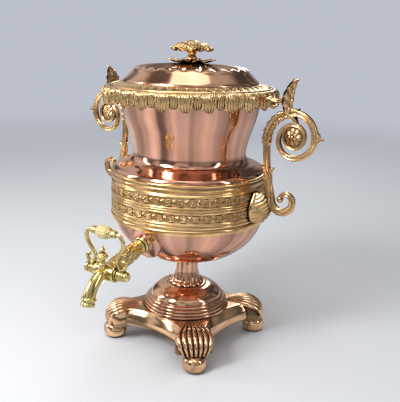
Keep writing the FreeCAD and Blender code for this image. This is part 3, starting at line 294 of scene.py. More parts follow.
COPPER = metal("polished_copper", (0.74, 0.40, 0.28), (0.60, 0.30, 0.20), (0.12, 0.05, 0.03), 0.085,
    dents=0.16)
COPPER_WORKED = metal("worked_copper", (0.78, 0.45, 0.29), (0.62, 0.32, 0.19), (0.08, 0.03, 0.015), 0.10,
    recess=4.0, dents=0.18, grain=0.12)
BRASS = metal("polished_brass", (0.80, 0.56, 0.28), (0.66, 0.42, 0.19), (0.07, 0.04, 0.02), 0.12,
    recess=3.0, dents=0.06, grain=0.12)
BRASS_CAST = metal("cast_brass", (0.93, 0.60, 0.29), (0.70, 0.40, 0.16), (0.022, 0.012, 0.006), 0.14,
    recess=3.6, grain=0.30, tarnish_size=60.0)
BRASS_HANDLE = metal("patinated_brass", (0.93, 0.60, 0.29), (0.38, 0.21, 0.09), (0.018, 0.010, 0.005), 0.15,
    recess=6.5, grain=0.35, tarnish_size=48.0)
BRASS_LEAF = metal("leafed_brass", (0.96, 0.65, 0.32), (0.76, 0.46, 0.19), (0.05, 0.026, 0.010), 0.13,
    recess=1.6, grain=0.25, tarnish_size=60.0)
BRASS_TAP = metal("yellow_brass", (0.86, 0.70, 0.30), (0.72, 0.54, 0.20), (0.08, 0.05, 0.01), 0.10,
    recess=3.0, grain=0.12, tarnish_size=60.0)
PLINTH_METAL = metal("gilt_copper", (0.88, 0.57, 0.33), (0.74, 0.42, 0.24), (0.05, 0.02, 0.01), 0.09,
    recess=4.6, dents=0.16, grain=0.10, tarnish_size=30.0)
IRON = metal("black_iron", (0.10, 0.095, 0.09), (0.16, 0.08, 0.05), (0.02, 0.02, 0.02), 0.5, recess=3.0,
    grain=1.0)
STEEL = metal("turned_steel", (0.46, 0.45, 0.44), (0.34, 0.32, 0.30), (0.08, 0.07, 0.06), 0.3, recess=2.0,
    grain=0.3)


def ivory():
    material, tree, shader = fresh_material("aged_ivory")
    shader.inputs["Roughness"].default_value = 0.32
    shader.inputs["Subsurface Weight"].default_value = 0.25
    shader.inputs["Subsurface Radius"].default_value = (0.004, 0.003, 0.0015)
    place = node_of(tree, "ShaderNodeTexCoord").outputs["Object"]
    grain = noise(tree, place, Scale=260.0, Detail=4.0)
    tone = blend(tree, grain, (0.68, 0.58, 0.29), (0.54, 0.43, 0.18))
    # Painted shade: the grip's colour darkens in its grooves, by ambient occlusion
    tone_shaded_in_grooves = blend(tree, openness(tree, 0.0012), (0.30, 0.20, 0.08), tone)
    tree.links.new(tone_shaded_in_grooves, shader.inputs["Base Color"])
    return material


def leather():
    material, tree, shader = fresh_material("leather_seal")
    shader.inputs["Roughness"].default_value = 0.8
    grain = node_of(tree, "ShaderNodeTexNoise", Scale=500.0, Detail=4.0)
    tone = blend(tree, grain.outputs["Fac"], (0.10, 0.05, 0.03), (0.22, 0.12, 0.07))
    tree.links.new(tone, shader.inputs["Base Color"])
    return material


IVORY = ivory()
LEATHER = leather()


# Turned vessel in sheet copper
def vessel():
    outside = smooth([(ROD_HOLE, 109), (16.5, 109), (16.5, 109), (38.6, 113.8), (58.9, 121.7),
        (70.4, 129.5), (80.5, 139.2), (88.6, 152.3), (92.0, 166.0), (92.0, 190.0), (92.0, 222.0),
        (92.0, 222.0), (89.2, 227.6), (80.5, 231.8), (71.6, 235.8), (68.3, 243.0), (69.6, 254.0),
        (73.0, 267.0), (79.2, 287.0), (84.5, 316.0)], 10)
    inside = [(max(r - VESSEL_WALL, ROD_HOLE), z) for r, z in outside[::-1] if z > 112]
    inside += [(16, 110.8), (ROD_HOLE, 110.8)]
    pile = Pile()
    pile.lathe(np.array(list(outside) + inside), 200, closed=True)
    pile.piece("vessel_body", COPPER, "urn", "copper", ("vessel_neck", "lower_bowl"))


# Belly band: turned mouldings with two rows of vine ornament
ROW_LOW = (BAND_LOW + 15.6, BAND_LOW + 24.2)
ROW_HIGH = (BAND_LOW + 33.4, BAND_LOW + 43.0)


def vine(angle, height, low, high, shift):
    """Relief of a vine: a bunch of grapes and a lobed leaf in turn."""
    across = (angle / TAU * VINE_CELLS + shift) % 1.0
    up = (height - low) / (high - low)
    inside = np.clip(np.minimum(up, 1 - up) * 12, 0, 1) * (up > 0) * (up < 1)
    half = TAU * BAND_BODY_R / VINE_CELLS / 2
    x = ((across * 2) % 1.0 - 0.5) * half
    y = (up - 0.5) * (high - low)
    size = 1.75
    row = np.round(y / (size * 0.87))
    shifted = x - (row % 2) * size / 2
    column = np.round(shifted / size)
    spot = np.hypot(shifted - column * size, y - row * size * 0.87)
    bunch = np.clip(1 - (spot / (size * 0.56)) ** 2, 0, 1) ** 0.5
    bunch *= np.abs(x) < half * 0.46
    turn = np.arctan2(y * 1.1, x)
    reach = np.hypot(x / (half * 0.48), y / ((high - low) * 0.46))
    lobes = 0.80 + 0.20 * np.cos(5 * turn)
    leaf = np.clip(1 - (reach / lobes) ** 2, 0, 1) ** 0.6 * (0.72 + 0.28 * np.cos(10 * turn))
    relief = np.where(across < 0.5, bunch, leaf)
    return relief * inside


def belly_band():
    outline = [(0.2, 0), (1.7, 0.5), (2.1, 2.0), (2.2, 3.6), (1.8, 5.6), (0.6, 6.8), (0.1, 7.2), (0.1, 7.2),
        (0.9, 7.8), (1.3, 9.2), (1.1, 10.6), (0.2, 11.3), (0.2, 11.3), (0.9, 11.9), (1.2, 12.8),
        (0.9, 13.9), (0.2, 14.5), (0.2, 14.5), (0.5, 15.0), (-0.4, 15.5), (-0.4, 15.5), (-0.4, 24.3),
        (-0.4, 24.3), (0.5, 24.6), (1.1, 25.4), (1.2, 26.4), (0.9, 27.2), (0.1, 27.7), (0.1, 27.7),
        (0.9, 28.2), (1.2, 29.1), (0.9, 30.1), (0.1, 30.6), (0.1, 30.6), (0.9, 31.1), (1.2, 31.9),
        (0.8, 32.8), (0.2, 33.2), (-0.4, 33.4), (-0.4, 33.4), (-0.4, 43.1), (-0.4, 43.1), (0.6, 43.6),
        (0.9, 44.4), (0.5, 45.4), (-0.4, 46.4), (-0.9, 47.7), (-0.9, 48.8), (-0.2, 49.8), (0.3, 50.4),
        (0.3, 50.4), (0.7, 51.2), (0.4, 52.4), (-0.5, 53.2), (-0.6, 54.3), (-0.6, 54.3), (0.7, 55.0),
        (1.3, 56.0), (1.1, 57.2), (0.0, 58.0)]
    corners = smooth(outline, 5)
    low, high = corners[0, 1], corners[-1, 1]
    height = np.arange(low, high, 0.26)
    proud = np.interp(height, corners[:, 1], corners[:, 0])
    profile = [(BELLY_R, BAND_LOW)] + list(np.stack([BAND_BODY_R + proud, BAND_LOW + height], -1))
    profile.append((BELLY_R, BAND_HIGH))

    def carve(angle, r, z):
        relief = vine(angle, z, *ROW_LOW, 0.0) + vine(angle, z, *ROW_HIGH, 0.25)
        return r + relief * 1.5 - 0.4, z

    pile = Pile()
    pile.lathe(profile, 1320, carve)
    pile.piece("belly_band_carved", BRASS_CAST, "urn", "brass", ("belly_band",))


# Mouth rim and the leaf skirt that hangs from it
def mouth_rim():
    outline = smooth([(81.2, 316), (81.2, 320), (81.2, 320), (92.3, 320), (92.3, 320), (92.8, 321.6),
        (94.0, 322.8), (95.6, 322.9), (96.6, 322.0), (97.2, 320.8), (98.6, 319.4), (100.2, 317.4),
        (100.9, 315.4), (100.9, 314.0), (100.6, 313.4), (100.6, 313.4), (97, 313.4), (97, 313.4), (86, 316),
        (81.2, 316)], 6)

    def carve(angle, r, z):
        slope = np.clip((r - 96.8) / 1.2, 0, 1) * np.clip((103.0 - r) / 1.2, 0, 1) * (z > 314.5)
        wave = np.abs(np.sin(angle * RIM_LEAVES * 3))
        return r, z - 0.6 * slope * (1 - wave ** 0.5)

    pile = Pile()
    pile.lathe(outline, 624, carve)
    pile.piece("mouth_rim_carved", BRASS_CAST, "urn", "brass", ("mouth_rim",))


def leaf_patch(half_width, length, lobes, veins, crown, point, nu=17, nv=26):
    """A leaf in its own frame: x across, y down its length from the root, z out of its face."""
    u = np.linspace(-1, 1, nu)[None, :]
    v = np.linspace(0, 1, nv)[:, None]
    outline = np.sin(math.pi * np.clip(v, 0.001, 0.999) ** (1 - 0.35 * point)) ** (0.45 + 0.3 * point)
    outline = outline * (1 - 0.10 * np.abs(np.sin(math.pi * lobes * v)))
    root = np.clip(1 - v * 2, 0, 1) * 0.55
    width = half_width * np.clip(np.maximum(outline, root), 0.02, 1)
    x = u * width
    y = v * length * np.ones_like(u)
    rib = np.exp(-(u / 0.14) ** 2) * 0.7
    side = np.abs(np.sin(math.pi * (lobes * v - 0.9 * np.abs(u) * 1.6)))
    swell = crown * (1 - u ** 2) * np.sin(math.pi * np.clip(v * 0.9 + 0.1, 0, 1))
    return x, y, swell + veins * (rib + 0.8 * side ** 0.6 - 0.6)


def turned(out, across, turn, height):
    """Points at a reach and a side step, turned about +Z."""
    return np.stack([out * math.cos(turn) - across * math.sin(turn), out * math.sin(turn)
        + across * math.cos(turn), height], -1)


def leaf_skirt():
    """Ribbed leaves that lap over the rim's edge and hang below it, small ones behind large ones."""
    over = smooth([(97.4, 321.4), (100.4, 320.6), (102.6, 318.4), (103.3, 315.0), (103.1, 310.6),
        (102.5, 306.0), (102.1, 301.6)], 5)
    across = np.linspace(-1, 1, 19)[None, :]
    down = np.linspace(0, 1, len(over))[:, None]
    tip = np.sqrt(np.clip(1 - (np.clip(down - 0.60, 0, 1) / 0.40) ** 2.4, 0, 1))
    fan = across * (1.15 - 0.15 * down)
    ribs = np.abs(np.cos(math.pi * 2.5 * fan)) ** 0.7
    notch = 1 - 0.07 * np.abs(np.sin(math.pi * 5 * down))
    pile = Pile()
    for i in range(2 * RIM_LEAVES):
        large = i % 2 == 0
        half = 9.4 if large else 8.0
        width = half * (0.84 + 0.16 * down) * np.maximum(tip, 0.03) * notch
        proud = 0.5 if large else -0.9
        lift = proud + 2.4 * (ribs - 0.6) * np.clip(down * 5, 0, 1) - 1.4 * across ** 2 - 0.9
        radius = np.minimum(over[:, :1] + lift, 103.7)
        height = over[:, 1:] + (0.0 if large else 3.0) * down + 1.5 * (1 - ribs) * np.clip(down * 4
            - 3, 0, 1)
        angle = math.pi * i / RIM_LEAVES + across * width / 101.0
        pile.grid(np.stack([radius * np.cos(angle), radius * np.sin(angle), height + 0 * across], -1))
    pile.piece("leaf_skirt_carved", BRASS_LEAF, "urn", "brass", ("leaf_skirt",), thick=0.8)


# Lid
def lid():
    wall = smooth([(79.9, 321.5), (79.9, 326.1), (79.9, 326.1), (78.6, 328.7), (74.6, 332.7), (69.2, 337.9),
        (66.6, 340.8), (63.2, 343.0), (58.5, 343.9), (50, 344.9), (38, 345.8), (26, 346.5), (12, 346.9),
        (STUD_HOLE, 347.0)], 10)
    inside = [(max(r - LID_WALL, STUD_HOLE), z - LID_WALL * (z > 322)) for r, z in wall[::-1]]

    def swirl(angle, r, z):
        part = np.clip((r - 20) / 14, 0, 1) * np.clip((67.5 - r) / 7, 0, 1) * (z > 340.2)
        turn = angle * LID_SWIRLS + 7.5 * np.log(np.maximum(r, 5) / 30)
        wave = np.abs(np.sin(turn / 2))
        return r, z + part * (2.6 * wave ** 0.8 - 2.3)

    pile = Pile()
    pile.lathe(np.array(list(wall) + inside), 480, swirl, closed=True)
    pile.piece("lid_shell", COPPER_WORKED, "lid", "copper", ("lid_dome",))

    border = smooth([(79.9, 320.3), (90.6, 320.3), (90.6, 320.3), (91.5, 320.8), (91.5, 321.6),
        (90.4, 322.6), (88.0, 323.3), (85.4, 324.2), (83.0, 325.2), (81.6, 325.7), (79.9, 325.7)], 8)

    def leaves(angle, r, z):
        phase = (angle / TAU * LID_LEAVES) % 1.0
        wave = np.abs(np.sin(math.pi * phase))
        part = np.clip((r - 81.4) / 2, 0, 1) * np.clip((91.7 - r) / 1.0, 0, 1) * (z > 321.4)
        vein = np.exp(-((phase - 0.5) / 0.07) ** 2)
        ripple = 0.25 * np.abs(np.sin(r * 2.2 + 6 * wave))
        return r, z - part * (0.9 * (1 - wave ** 0.6) - 0.2 * vein + ripple)

    pile = Pile()
    pile.lathe(border, 936, leaves)
    pile.piece("lid_border_carved", BRASS_LEAF, "lid", "brass", ("lid_border",))


def rosette():
    pile = Pile()
    layers = ((10, 28.4, 7.6, 4.4, 348.2), (10, 19.0, 5.6, 2.6, 349.4))
    for layer, (count, length, half, rise, low) in enumerate(layers):
        x, y, z = leaf_patch(half, length - 4, 4, 0.5, 0.6, 0.5)
        share = y / (length - 4)
        height = low + z * 0.7 + rise * share ** 3
        out = 4 + y - 1.6 * np.clip(share - 0.85, 0, 1)
        for i in range(count):
            pile.grid(turned(out, x, TAU * (i + 0.5 * layer) / count, height))
    pile.piece("lid_rosette_leaves", BRASS_HANDLE, "lid", "brass", ("lid_rosette",), thick=0.8)
    boss = Pile()
    boss.lathe(smooth([(2.6, 347.0), (12, 347.0), (12.4, 348.6), (10, 350.6), (7.0, 351.6), (6.2, 353),
        (5.8, 354.9), (2.6, 354.9)], 6), 64)
    boss.piece("rosette_boss", BRASS_CAST, "lid", "brass")


def finial():
    stem = Pile()

    def calyx(angle, r, z):
        return r * (1 + 0.07 * np.cos(angle * 8) * np.clip((z - 355.5) / 2, 0, 1)), z

    stem.lathe(smooth([(2.6, 354.0), (5.2, 354.0), (5.2, 354.0), (5.5, 355.0), (4.4, 356.2), (4.2, 357.6),
        (5.0, 359.2), (6.4, 361.2), (8.2, 362.8), (2.6, 363.0)], 6), 96, calyx)
    stem.piece("finial_calyx", BRASS_CAST, "lid", "brass", ("finial_stem",))
    flower = Pile()
    u = np.linspace(-1, 1, 41)[None, :]
    v = np.linspace(0, 1, 30)[:, None]
    outline = np.sin(math.pi * (0.16 + 0.80 * v)) ** 0.55
    half = 3.2 + 9.6 * outline * (0.35 + 0.65 * v) - 3.2 * np.clip((v - 0.86) / 0.14, 0, 1) ** 2
    half = half * (1 - 0.07 * np.abs(np.sin(math.pi * 5 * v)))
    flutes = np.abs(np.cos(math.pi * 2.5 * u)) ** 0.7
    droop = 5.6 * np.clip(v - 0.28, 0, 1) ** 1.9 * 2.1
    curl = 2.2 * np.clip((v - 0.82) / 0.18, 0, 1) ** 2
    top = 367.4 + 1.7 * np.sin(math.pi * v) + 2.0 * flutes * np.clip(v * 3, 0, 1)
    top = top - 2.6 * (u ** 2) * np.clip(v * 2, 0, 1) - droop + curl
    out = 5.0 + 20.6 * v - 2.2 * (u ** 2) * v + 1.6 * (flutes - 1) * v ** 2
    petals = 6
    for i in range(petals):
        flower.grid(turned(out, u * half, TAU * (i + 0.35) / petals, top))
    flower.piece("finial_petals", BRASS_LEAF, "lid", "brass", ("finial_flower",), thick=1.5)
    bud = Pile()

    def seeds(angle, r, z):
        rise = np.clip((z - 364) / 3, 0, 1)
        net = np.abs(np.sin(angle * 9 + z * 1.5)) * np.abs(np.sin(angle * 9 - z * 1.5))
        return r * (1 + 0.09 * rise * net), z

    bud.lathe(smooth([(2.0, 361.0), (7.6, 361.6), (9.2, 364.2), (9.0, 367.4), (8.0, 370.2), (5.6, 372.2),
        (2.6, 373.1), (0.0, 373.2)], 8), 144, seeds)
    bud.piece("finial_seed_head", BRASS_CAST, "lid", "brass")


# Plinth, castings and feet
def plinth():
    reach = 56.0
    rings = []
    levels = [(50.0, 44.0, 86.0), (51.4, 44.0, 85.5), (52.6, 43.4, 85.0), (53.4, 42.2, 86.0),
        (54.2, 41.2, 87.0), (55.4, 40.0, 89.0), (57.4, 37.8, 93.0), (59.4, 34.0, 98.0), (60.8, 29.4, 102.0),
        (61.2, 26.0, 104.0), (60.8, 24.2, 105.0), (59.6, 23.1, 105.0), (57.8, 23.0, 105.0),
        (57.4, 24.6, 105.0), (56.4, 34.0, 105.0), (50.0, 41.0, 105.0)]
    for middle, height, curve in levels:
        span = reach + (middle - 61.0) * 0.2
        ring = []
        for side in range(4):
            turn = math.pi / 2 * side
            limit = math.asin(span / curve)
            for t in np.linspace(-limit, limit, 40):
                x = curve * math.sin(t)
                y = -(middle + curve - curve * math.cos(t))
                across = x * math.cos(turn) - y * math.sin(turn)
                ring.append((across, x * math.sin(turn) + y * math.cos(turn), height))
        rings.append(ring)
    rings = np.array(rings)
    centre = rings[:1] * (0.05, 0.05, 1)
    under = rings[-1:] * (0.05, 0.05, 1)
    pile = Pile()
    pile.grid(np.concatenate([centre, rings, under]), wrap_v=True)
    pile.piece("plinth_body", PLINTH_METAL, "urn", "copper", ("plinth",))


def corner_shell():
    """One gadrooned corner on the +X side: seven lobes fan out, turn over the edge and hang down."""
    lobes = 7
    path = smooth([(54.5, 44.2, 3.2, 0.3), (62, 45.6, 9.0, 1.0), (72, 46.6, 15.0, 1.9),
        (82, 46.8, 19.8, 2.6), (91, 45.4, 22.2, 3.2), (98, 41.6, 22.4, 3.4), (102.6, 35.6, 21.2, 3.4),
        (104.4, 29.6, 19.2, 3.2), (104.0, 25.4, 17.2, 2.6), (102.2, 22.8, 15.6, 1.8),
        (97.5, 21.6, 13.0, 0.4)], 7)
    nu = lobes * 14 + 1
    u = np.linspace(-1, 1, nu)
    rows = []
    tangent = np.gradient(path[:, :2], axis=0)
    tangent /= np.linalg.norm(tangent, axis=1)[:, None]
    for (out, height, half, relief), (tx, tz) in zip(path, tangent):
        phase = (u + 1) / 2 * lobes
        bulge = np.abs(np.sin(math.pi * phase)) ** 0.62
        lift = relief * (bulge - 0.9)
        normal = np.array([-tz, tx])
        bend = 0.30 * half * u ** 2
        x = out - bend * (0.55 + 0.45 * abs(tz)) + normal[0] * lift
        low = np.clip((31 - height) / 7, 0, 1)
        x = x - low * 2.2 * (1 - bulge)
        z = height + normal[1] * lift - 0.16 * half * u ** 2 * abs(tx) + low * 3.4 * (1 - bulge) ** 1.5
        y = u * half
        rows.append(np.stack([x, y, z], -1))
    return np.array(rows)


def castings():
    pile = Pile()
    shell = corner_shell()
    for i in range(4):
        turn = Matrix.Rotation(math.pi / 4 + i * math.pi / 2, 4, "Z")
        pile.grid(shell, place=turn)
        for edge in (0, -1):
            side = shell[:, edge]
            low = side.copy()
            low[:, 2] = np.minimum(low[:, 2], 22.0)
            low[:, 0] -= 1.5
            pile.grid(np.stack([side, low], 1), place=turn)
    pile.piece("corner_shells", PLINTH_METAL, "urn", "copper", ("corner_castings",), thick=0.8)
    core = Pile()
    for i in range(4):
        turn = Matrix.Rotation(math.pi / 4 + i * math.pi / 2, 4, "Z")
        outline = np.array([(70, -11), (92, -12), (99, -8), (101, 0), (99, 8), (92, 12), (70, 11)])
        low, high = (np.column_stack([outline, np.full(7, level)]) for level in (21.2, 24.0))
        rings = [low.mean(0)[None].repeat(7, 0), low, high, high.mean(0)[None].repeat(7, 0)]
        core.grid(np.array(rings), wrap_v=True, place=turn)
    core.piece("corner_floors", PLINTH_METAL, "urn", "copper")


def feet():
    pile = Pile()
    outline = smooth([(0, 0), (9.6, 0), (9.6, 0), (12.6, 2.6), (14.3, 6.4), (14.5, 10.4), (13.9, 14.0),
        (12.2, 17.2), (9.6, 19.2), (9.2, 20.0), (9.2, 20.9), (0, 20.9)], 7)
    for sx in (-1, 1):
        for sy in (-1, 1):
            pile.lathe(outline, 64, place=Matrix.Translation((sx * FOOT_AT, sy * FOOT_AT, 0)))
    pile.piece("ball_feet_turned", PLINTH_METAL, "urn", "brass", ("ball_feet",))


def pedestal():
    outline = smooth([(0, 44.1), (54.4, 44.1), (54.4, 44.1), (54.5, 45.6), (53.9, 47.2), (52.6, 47.7),
        (52.6, 47.7), (53.2, 48.8), (53.0, 50.4), (51.9, 51.2), (51.0, 51.4), (51.0, 51.4), (51.3, 52.6),
        (50.6, 54.0), (49.3, 54.6), (48.4, 54.8), (48.4, 54.8), (48.4, 56.0), (47.4, 57.4), (46.0, 58.0),
        (45.4, 58.3), (45.4, 58.3), (44.6, 60.2), (44.0, 62.0), (41.4, 65.0), (36.6, 68.4), (31.0, 70.6),
        (25.6, 71.8), (22.0, 73.2), (4.2, 73.2)], 6)
    pile = Pile()
    pile.lathe(outline, 200)
    pile.piece("pedestal_turned", COPPER_WORKED, "urn", "copper", ("pedestal_dome",))

    def leaves(angle, r, z):
        low = np.clip((92 - z) / 12, 0, 1) ** 0.8
        wave = np.abs(np.cos(angle * 7))
        return r * (1 - 0.11 * low * (1 - wave ** 0.5)), z

    stem = Pile()
    stem.lathe(smooth([(21.6, 73.2), (22.2, 73.4), (22.4, 74.6), (21.0, 76.4), (18.4, 78.6), (16.9, 82.0),
        (15.6, 86.0), (14.4, 91.0), (14.0, 96.0), (14.3, 101.0), (15.2, 105.4), (17.2, 108.8),
        (22.0, 110.6)], 8), 224, leaves)
    stem.piece("stem_leafed", COPPER_WORKED, "urn", "copper", ("stem",))


# Scroll handles: one bar swept along arcs in the XZ plane
def arc(cx, cz, radius, start, end, count=24):
    turn = np.radians(np.linspace(start, end, count))
    return np.stack([cx + radius * np.cos(turn), cz + radius * np.sin(turn)], -1)


def bar(pile, path, width, depth, groove, sides=28):
    """A moulded bar along (x, z) points, with a hollow along both faces."""
    path = np.asarray(path, float)
    step = np.r_[True, np.linalg.norm(np.diff(path, axis=0), axis=1) > 1e-6]
    path = path[step]
    width = np.interp(np.linspace(0, 1, len(path)), np.linspace(0, 1, len(width)), width)
    depth = np.interp(np.linspace(0, 1, len(path)), np.linspace(0, 1, len(depth)), depth)
    tangent = np.gradient(path, axis=0)
    tangent /= np.linalg.norm(tangent, axis=1)[:, None]
    angle = np.linspace(0, TAU, sides, endpoint=False)
    c, s = np.cos(angle), np.sin(angle)
    shape = np.stack([np.sign(c) * np.abs(c) ** 0.75, np.sign(s) * np.abs(s) ** 0.75], -1)
    rings = []
    for place, (tx, tz), w, d in zip(path, tangent, width, depth):
        across = shape[:, 0] * w / 2
        deep = shape[:, 1] * d / 2 * (1 - groove * np.exp(-(shape[:, 0] / 0.42) ** 2))
        rings.append(np.stack([place[0] - tz * across, deep, place[1] + tx * across], -1))
    rings = [rings[0].mean(0)[None].repeat(sides, 0)] + rings + [rings[-1].mean(0)[None].repeat(sides, 0)]
    pile.grid(np.array(rings), wrap_v=True)


SCROLL = (138.8, 277.8)


def handle():
    pile = Pile()
    shoulder = (138.8, 270.6)
    sweep = 220.0
    bend = 17.1
    body = [arc(134.8, 206, 7.9, 0, 180, 20)[::-1], arc(129.6, 206, 13.1, 360, 180, 36), arc(106.8 + sweep,
        270.6, sweep, 180 + bend, 180, 30), arc(*shoulder, 32, 180, 90, 26),
        arc(138.8, 278.6, 24, 90, -90, 44), arc(138.8, 272.55, 17.95, -90, -270, 40),
        arc(138.8, 277.8, 12.7, 90, -90, 30), arc(138.8, 277.4, 12.2, -90, -250, 30)]
    path = np.concatenate([part[1:] if i else part for i, part in enumerate(body)])
    length = len(path)
    share = np.linspace(0, 1, length)
    width = np.interp(share, [0, 0.05, 0.11, 0.19, 0.27, 0.42, 0.55, 0.70, 0.85, 1.0], [4.4, 6.2, 8.6, 9.4,
        7.8, 8.0, 6.8, 5.2, 3.6, 2.2])
    depth = np.interp(share, [0, 0.1, 0.3, 0.6, 0.8, 1.0], [6.4, 7.0, 7.0, 7.0, 5.6, 4.4])
    bar(pile, path, width, depth, 0.42)
    pile.ball((127.6, 0, 207.2), 3.9, 1.0, 14)
    pile.lathe(smooth([(0, -0.9), (10.8, -0.9), (11.0, -0.4), (11.0, 0.4), (10.8, 0.9), (0, 0.9)], 3), 48,
        place=Matrix.Translation((SCROLL[0], 0, SCROLL[1])) @ Matrix.Rotation(math.pi / 2, 4, "X"))
    bar(pile, smooth([(161.6, 281.8), (164.8, 280.2), (168.4, 278.8), (172.0, 278.4), (173.7, 278.8)], 8),
        [6.2, 5.0, 3.4, 2.4, 0.8], [6.4, 5.4, 4.2, 2.6, 0.8], 0.1)
    bar(pile, smooth([(163.8, 286.0), (166.2, 282.4), (167.6, 279.2)], 8), [2.0, 4.2, 3.0], [5.0, 6.0, 4.0],
        0.1)
    bar(pile, smooth([(163.4, 272.0), (165.2, 275.2), (167.4, 277.8)], 8), [2.0, 3.6, 3.0], [5.0, 5.6, 4.0],
        0.1)
    # Acanthus over the shoulder, in overlapping lobes
    leaf_path = arc(*shoulder, 32.4, 192, 84, 120)
    share = np.linspace(0, 1, 120)
    husk = (1 - (share * 8) % 1.0) ** 0.7
    lobed = 7.8 + 4.6 * husk - 1.4 * share
    lobed *= np.clip(share * 7 + 0.55, 0, 1)
    deep = 7.2 + 3.0 * (1 - (share * 8 + 0.5) % 1.0) ** 0.7 - 0.8 * share
    bar(pile, leaf_path, lobed, np.minimum(deep, 9.8), 0.62, 36)
    bar(pile, smooth([(131, 299.5), (136.5, 297.4), (140.2, 293.8), (140.6, 290.6), (137.8, 289.6)], 8),
        [5.5, 5.0, 4.2, 3.4, 1.6], [7.4, 7.4, 6.6, 5.2, 2.0], 0.2)
    # Forked leaf collar on the stem
    bar(pile, smooth([(113.6, 208.0), (111.6, 218), (109.8, 229), (107.2, 236.5), (102.6, 240.8),
        (100.4, 242.0)], 8), [6.0, 8.4, 8.6, 4.6, 2.8, 1.0], [7.6, 9.0, 9.2, 7.0, 4.6, 1.2], 0.18)
    bar(pile, smooth([(114.0, 208.0), (112.4, 218), (111.4, 229), (112.8, 236.0), (116.2, 240.0),
        (118.0, 241.2)], 8), [6.0, 8.0, 8.2, 4.6, 2.8, 1.0], [7.6, 9.0, 9.2, 7.0, 4.6, 1.2], 0.18)
    for name, side in SIDES:
        pile.sided(side).piece("scroll_handle_" + name, BRASS_HANDLE, "urn", "brass", ("handle_" + name,))


def scroll_rosettes():
    pile = Pile()
    for side in (-1, 1):
        place = Matrix.Translation((SCROLL[0], side * 0.6, SCROLL[1]))
        place = place @ Matrix.Rotation(-side * math.pi / 2, 4, "X")
        for ring, (count, reach, half, low) in enumerate(((7, 10.9, 4.1, 1.0), (5, 6.6, 3.0, 2.4))):
            x, y, z = leaf_patch(half, reach - 1.2, 3, 0.7, 1.6, 0.1, 11, 14)
            height = low + z - 1.2 * (y / reach) ** 2
            for i in range(count):
                pile.grid(turned(1.2 + y, x, TAU * (i + 0.5 * ring) / count, height), place=place)
        button = Pile()
        button.ball((0, 0, 3.6), 1.9, 0.8, 10)
        pile.join(button, place)
    pile.piece("scroll_flowers", BRASS_HANDLE, "urn", "brass", ("scroll_rosettes",), thick=0.7, mirror=True)


def acanthus(name, side):
    """The standing leaf on the handle's bracket, and the arm back to the rim."""
    pile = Pile()
    u = np.linspace(-1, 1, 25)[None, :]
    v = np.linspace(0, 1, 44)[:, None]
    spine = smooth([(130.5, 301.5), (130.6, 308), (130.8, 316), (131.6, 324), (133.6, 331), (136.4, 337.6)],
        12)
    share = np.linspace(0, 1, len(spine))
    cx = np.interp(v, share, spine[:, 0])
    cz = np.interp(v, share, spine[:, 1])
    half = np.interp(v, [0, 0.12, 0.34, 0.52, 0.74, 0.9, 1], [4.6, 6.4, 11.6, 11.8, 8.4, 4.0, 0.2])
    half = half * (1 - 0.10 * np.abs(np.sin(math.pi * 5 * v)))
    rib = np.exp(-(u / 0.12) ** 2)
    veins = np.abs(np.sin(math.pi * (4.5 * v - 1.2 * np.abs(u))))
    lift = 1.4 * (1 - np.abs(u)) + 1.5 * veins ** 0.6 + 1.4 * rib
    cup = 3.2 * u ** 2 * (1 - 0.6 * v)
    for face, relief, behind in ((1, 1.0, 0.0), (-1, 0.45, 1.2)):
        out = cx + (lift - cup) * relief * face - behind - cup * (face < 0)
        pile.grid(np.stack([out, u * half, cz + 0 * u], -1))
    bar(pile, smooth([(102.6, 314.6), (107, 316.0), (112, 314.6), (118, 313.6), (124, 316.6), (130, 313.0)],
        8), [3.2, 3.2, 3.4, 3.8, 4.6, 5.0], [9.0, 6.4, 5.0, 5.0, 6.0, 8.0], 0.3)
    bar(pile, smooth([(112, 313.6), (110.6, 310.4), (113.0, 308.0), (116.4, 309.0), (116.6, 311.6)], 8),
        [2.6, 3.0, 3.0, 2.6, 1.4], [5, 5, 5, 4, 2], 0.2)
    bar(pile, smooth([(122, 310.5), (124.4, 314.4), (128.4, 317.4)], 8), [1.6, 3.0, 2.2], [5, 6, 5], 0.2)
    bar(pile, smooth([(129.6, 300.4), (130.4, 304), (131.0, 309)], 6), [10.0, 8.4, 6.4], [8.4, 10.5, 8.0],
        0.2)
    pile.sided(side).piece("acanthus_" + name, BRASS_HANDLE, "urn", "brass", ("leaf_bracket_" + name,))


def shell_leaf(name, side):
    """The ribbed leaf on the band that carries the handle's foot."""
    nu = 45
    u = np.linspace(-1, 1, nu)[None, :]
    v = np.linspace(0, 1, 60)[:, None]
    height = 210.0 - 34.5 * v
    half = 15.0 * np.sin(math.pi * (0.10 + 0.80 * v)) ** 0.6 * (0.62 + 0.38 * v)
    edge = np.sqrt(np.clip(1 - u ** 2, 0, 1))
    reach = 6.0 + 14.5 * np.sin(math.pi * np.clip(0.12 + 0.82 * v, 0, 1)) ** 0.9
    ribs = np.abs(np.sin(math.pi * (8.0 * v - 3.4 * np.abs(u)))) ** 0.8
    rim = np.exp(-((0.97 - np.abs(u)) / 0.04) ** 2)
    inside = np.clip((0.92 - np.abs(u)) / 0.06, 0, 1) * np.clip(v * 12, 0, 1) * np.clip((1 - v) * 12, 0, 1)
    out = 96.8 + reach * edge ** 2.0 - 2.6 * (1
        - ribs) * inside + 1.2 * rim + 1.0 * np.exp(-(u / 0.07) ** 2)
    bend = np.sqrt(np.clip(96.0 ** 2 - (u * half) ** 2, 0, None)) - 96.0
    pile = Pile()
    points = np.stack([out + bend, u * half, height + 0 * u], -1)
    back = points.copy()
    back[..., 0] = 95.4 + bend
    ring = np.concatenate([points, back[:, ::-1]], 1)
    low, high = (row.mean(1, keepdims=True).repeat(2 * nu, 1) for row in (ring[:1], ring[-1:]))
    pile.grid(np.concatenate([low, ring, high]) * (side, 1, 1), wrap_v=True)
    pile.piece("shell_leaf_" + name, BRASS_HANDLE, "urn", "brass", ("shell_plate_" + name,))


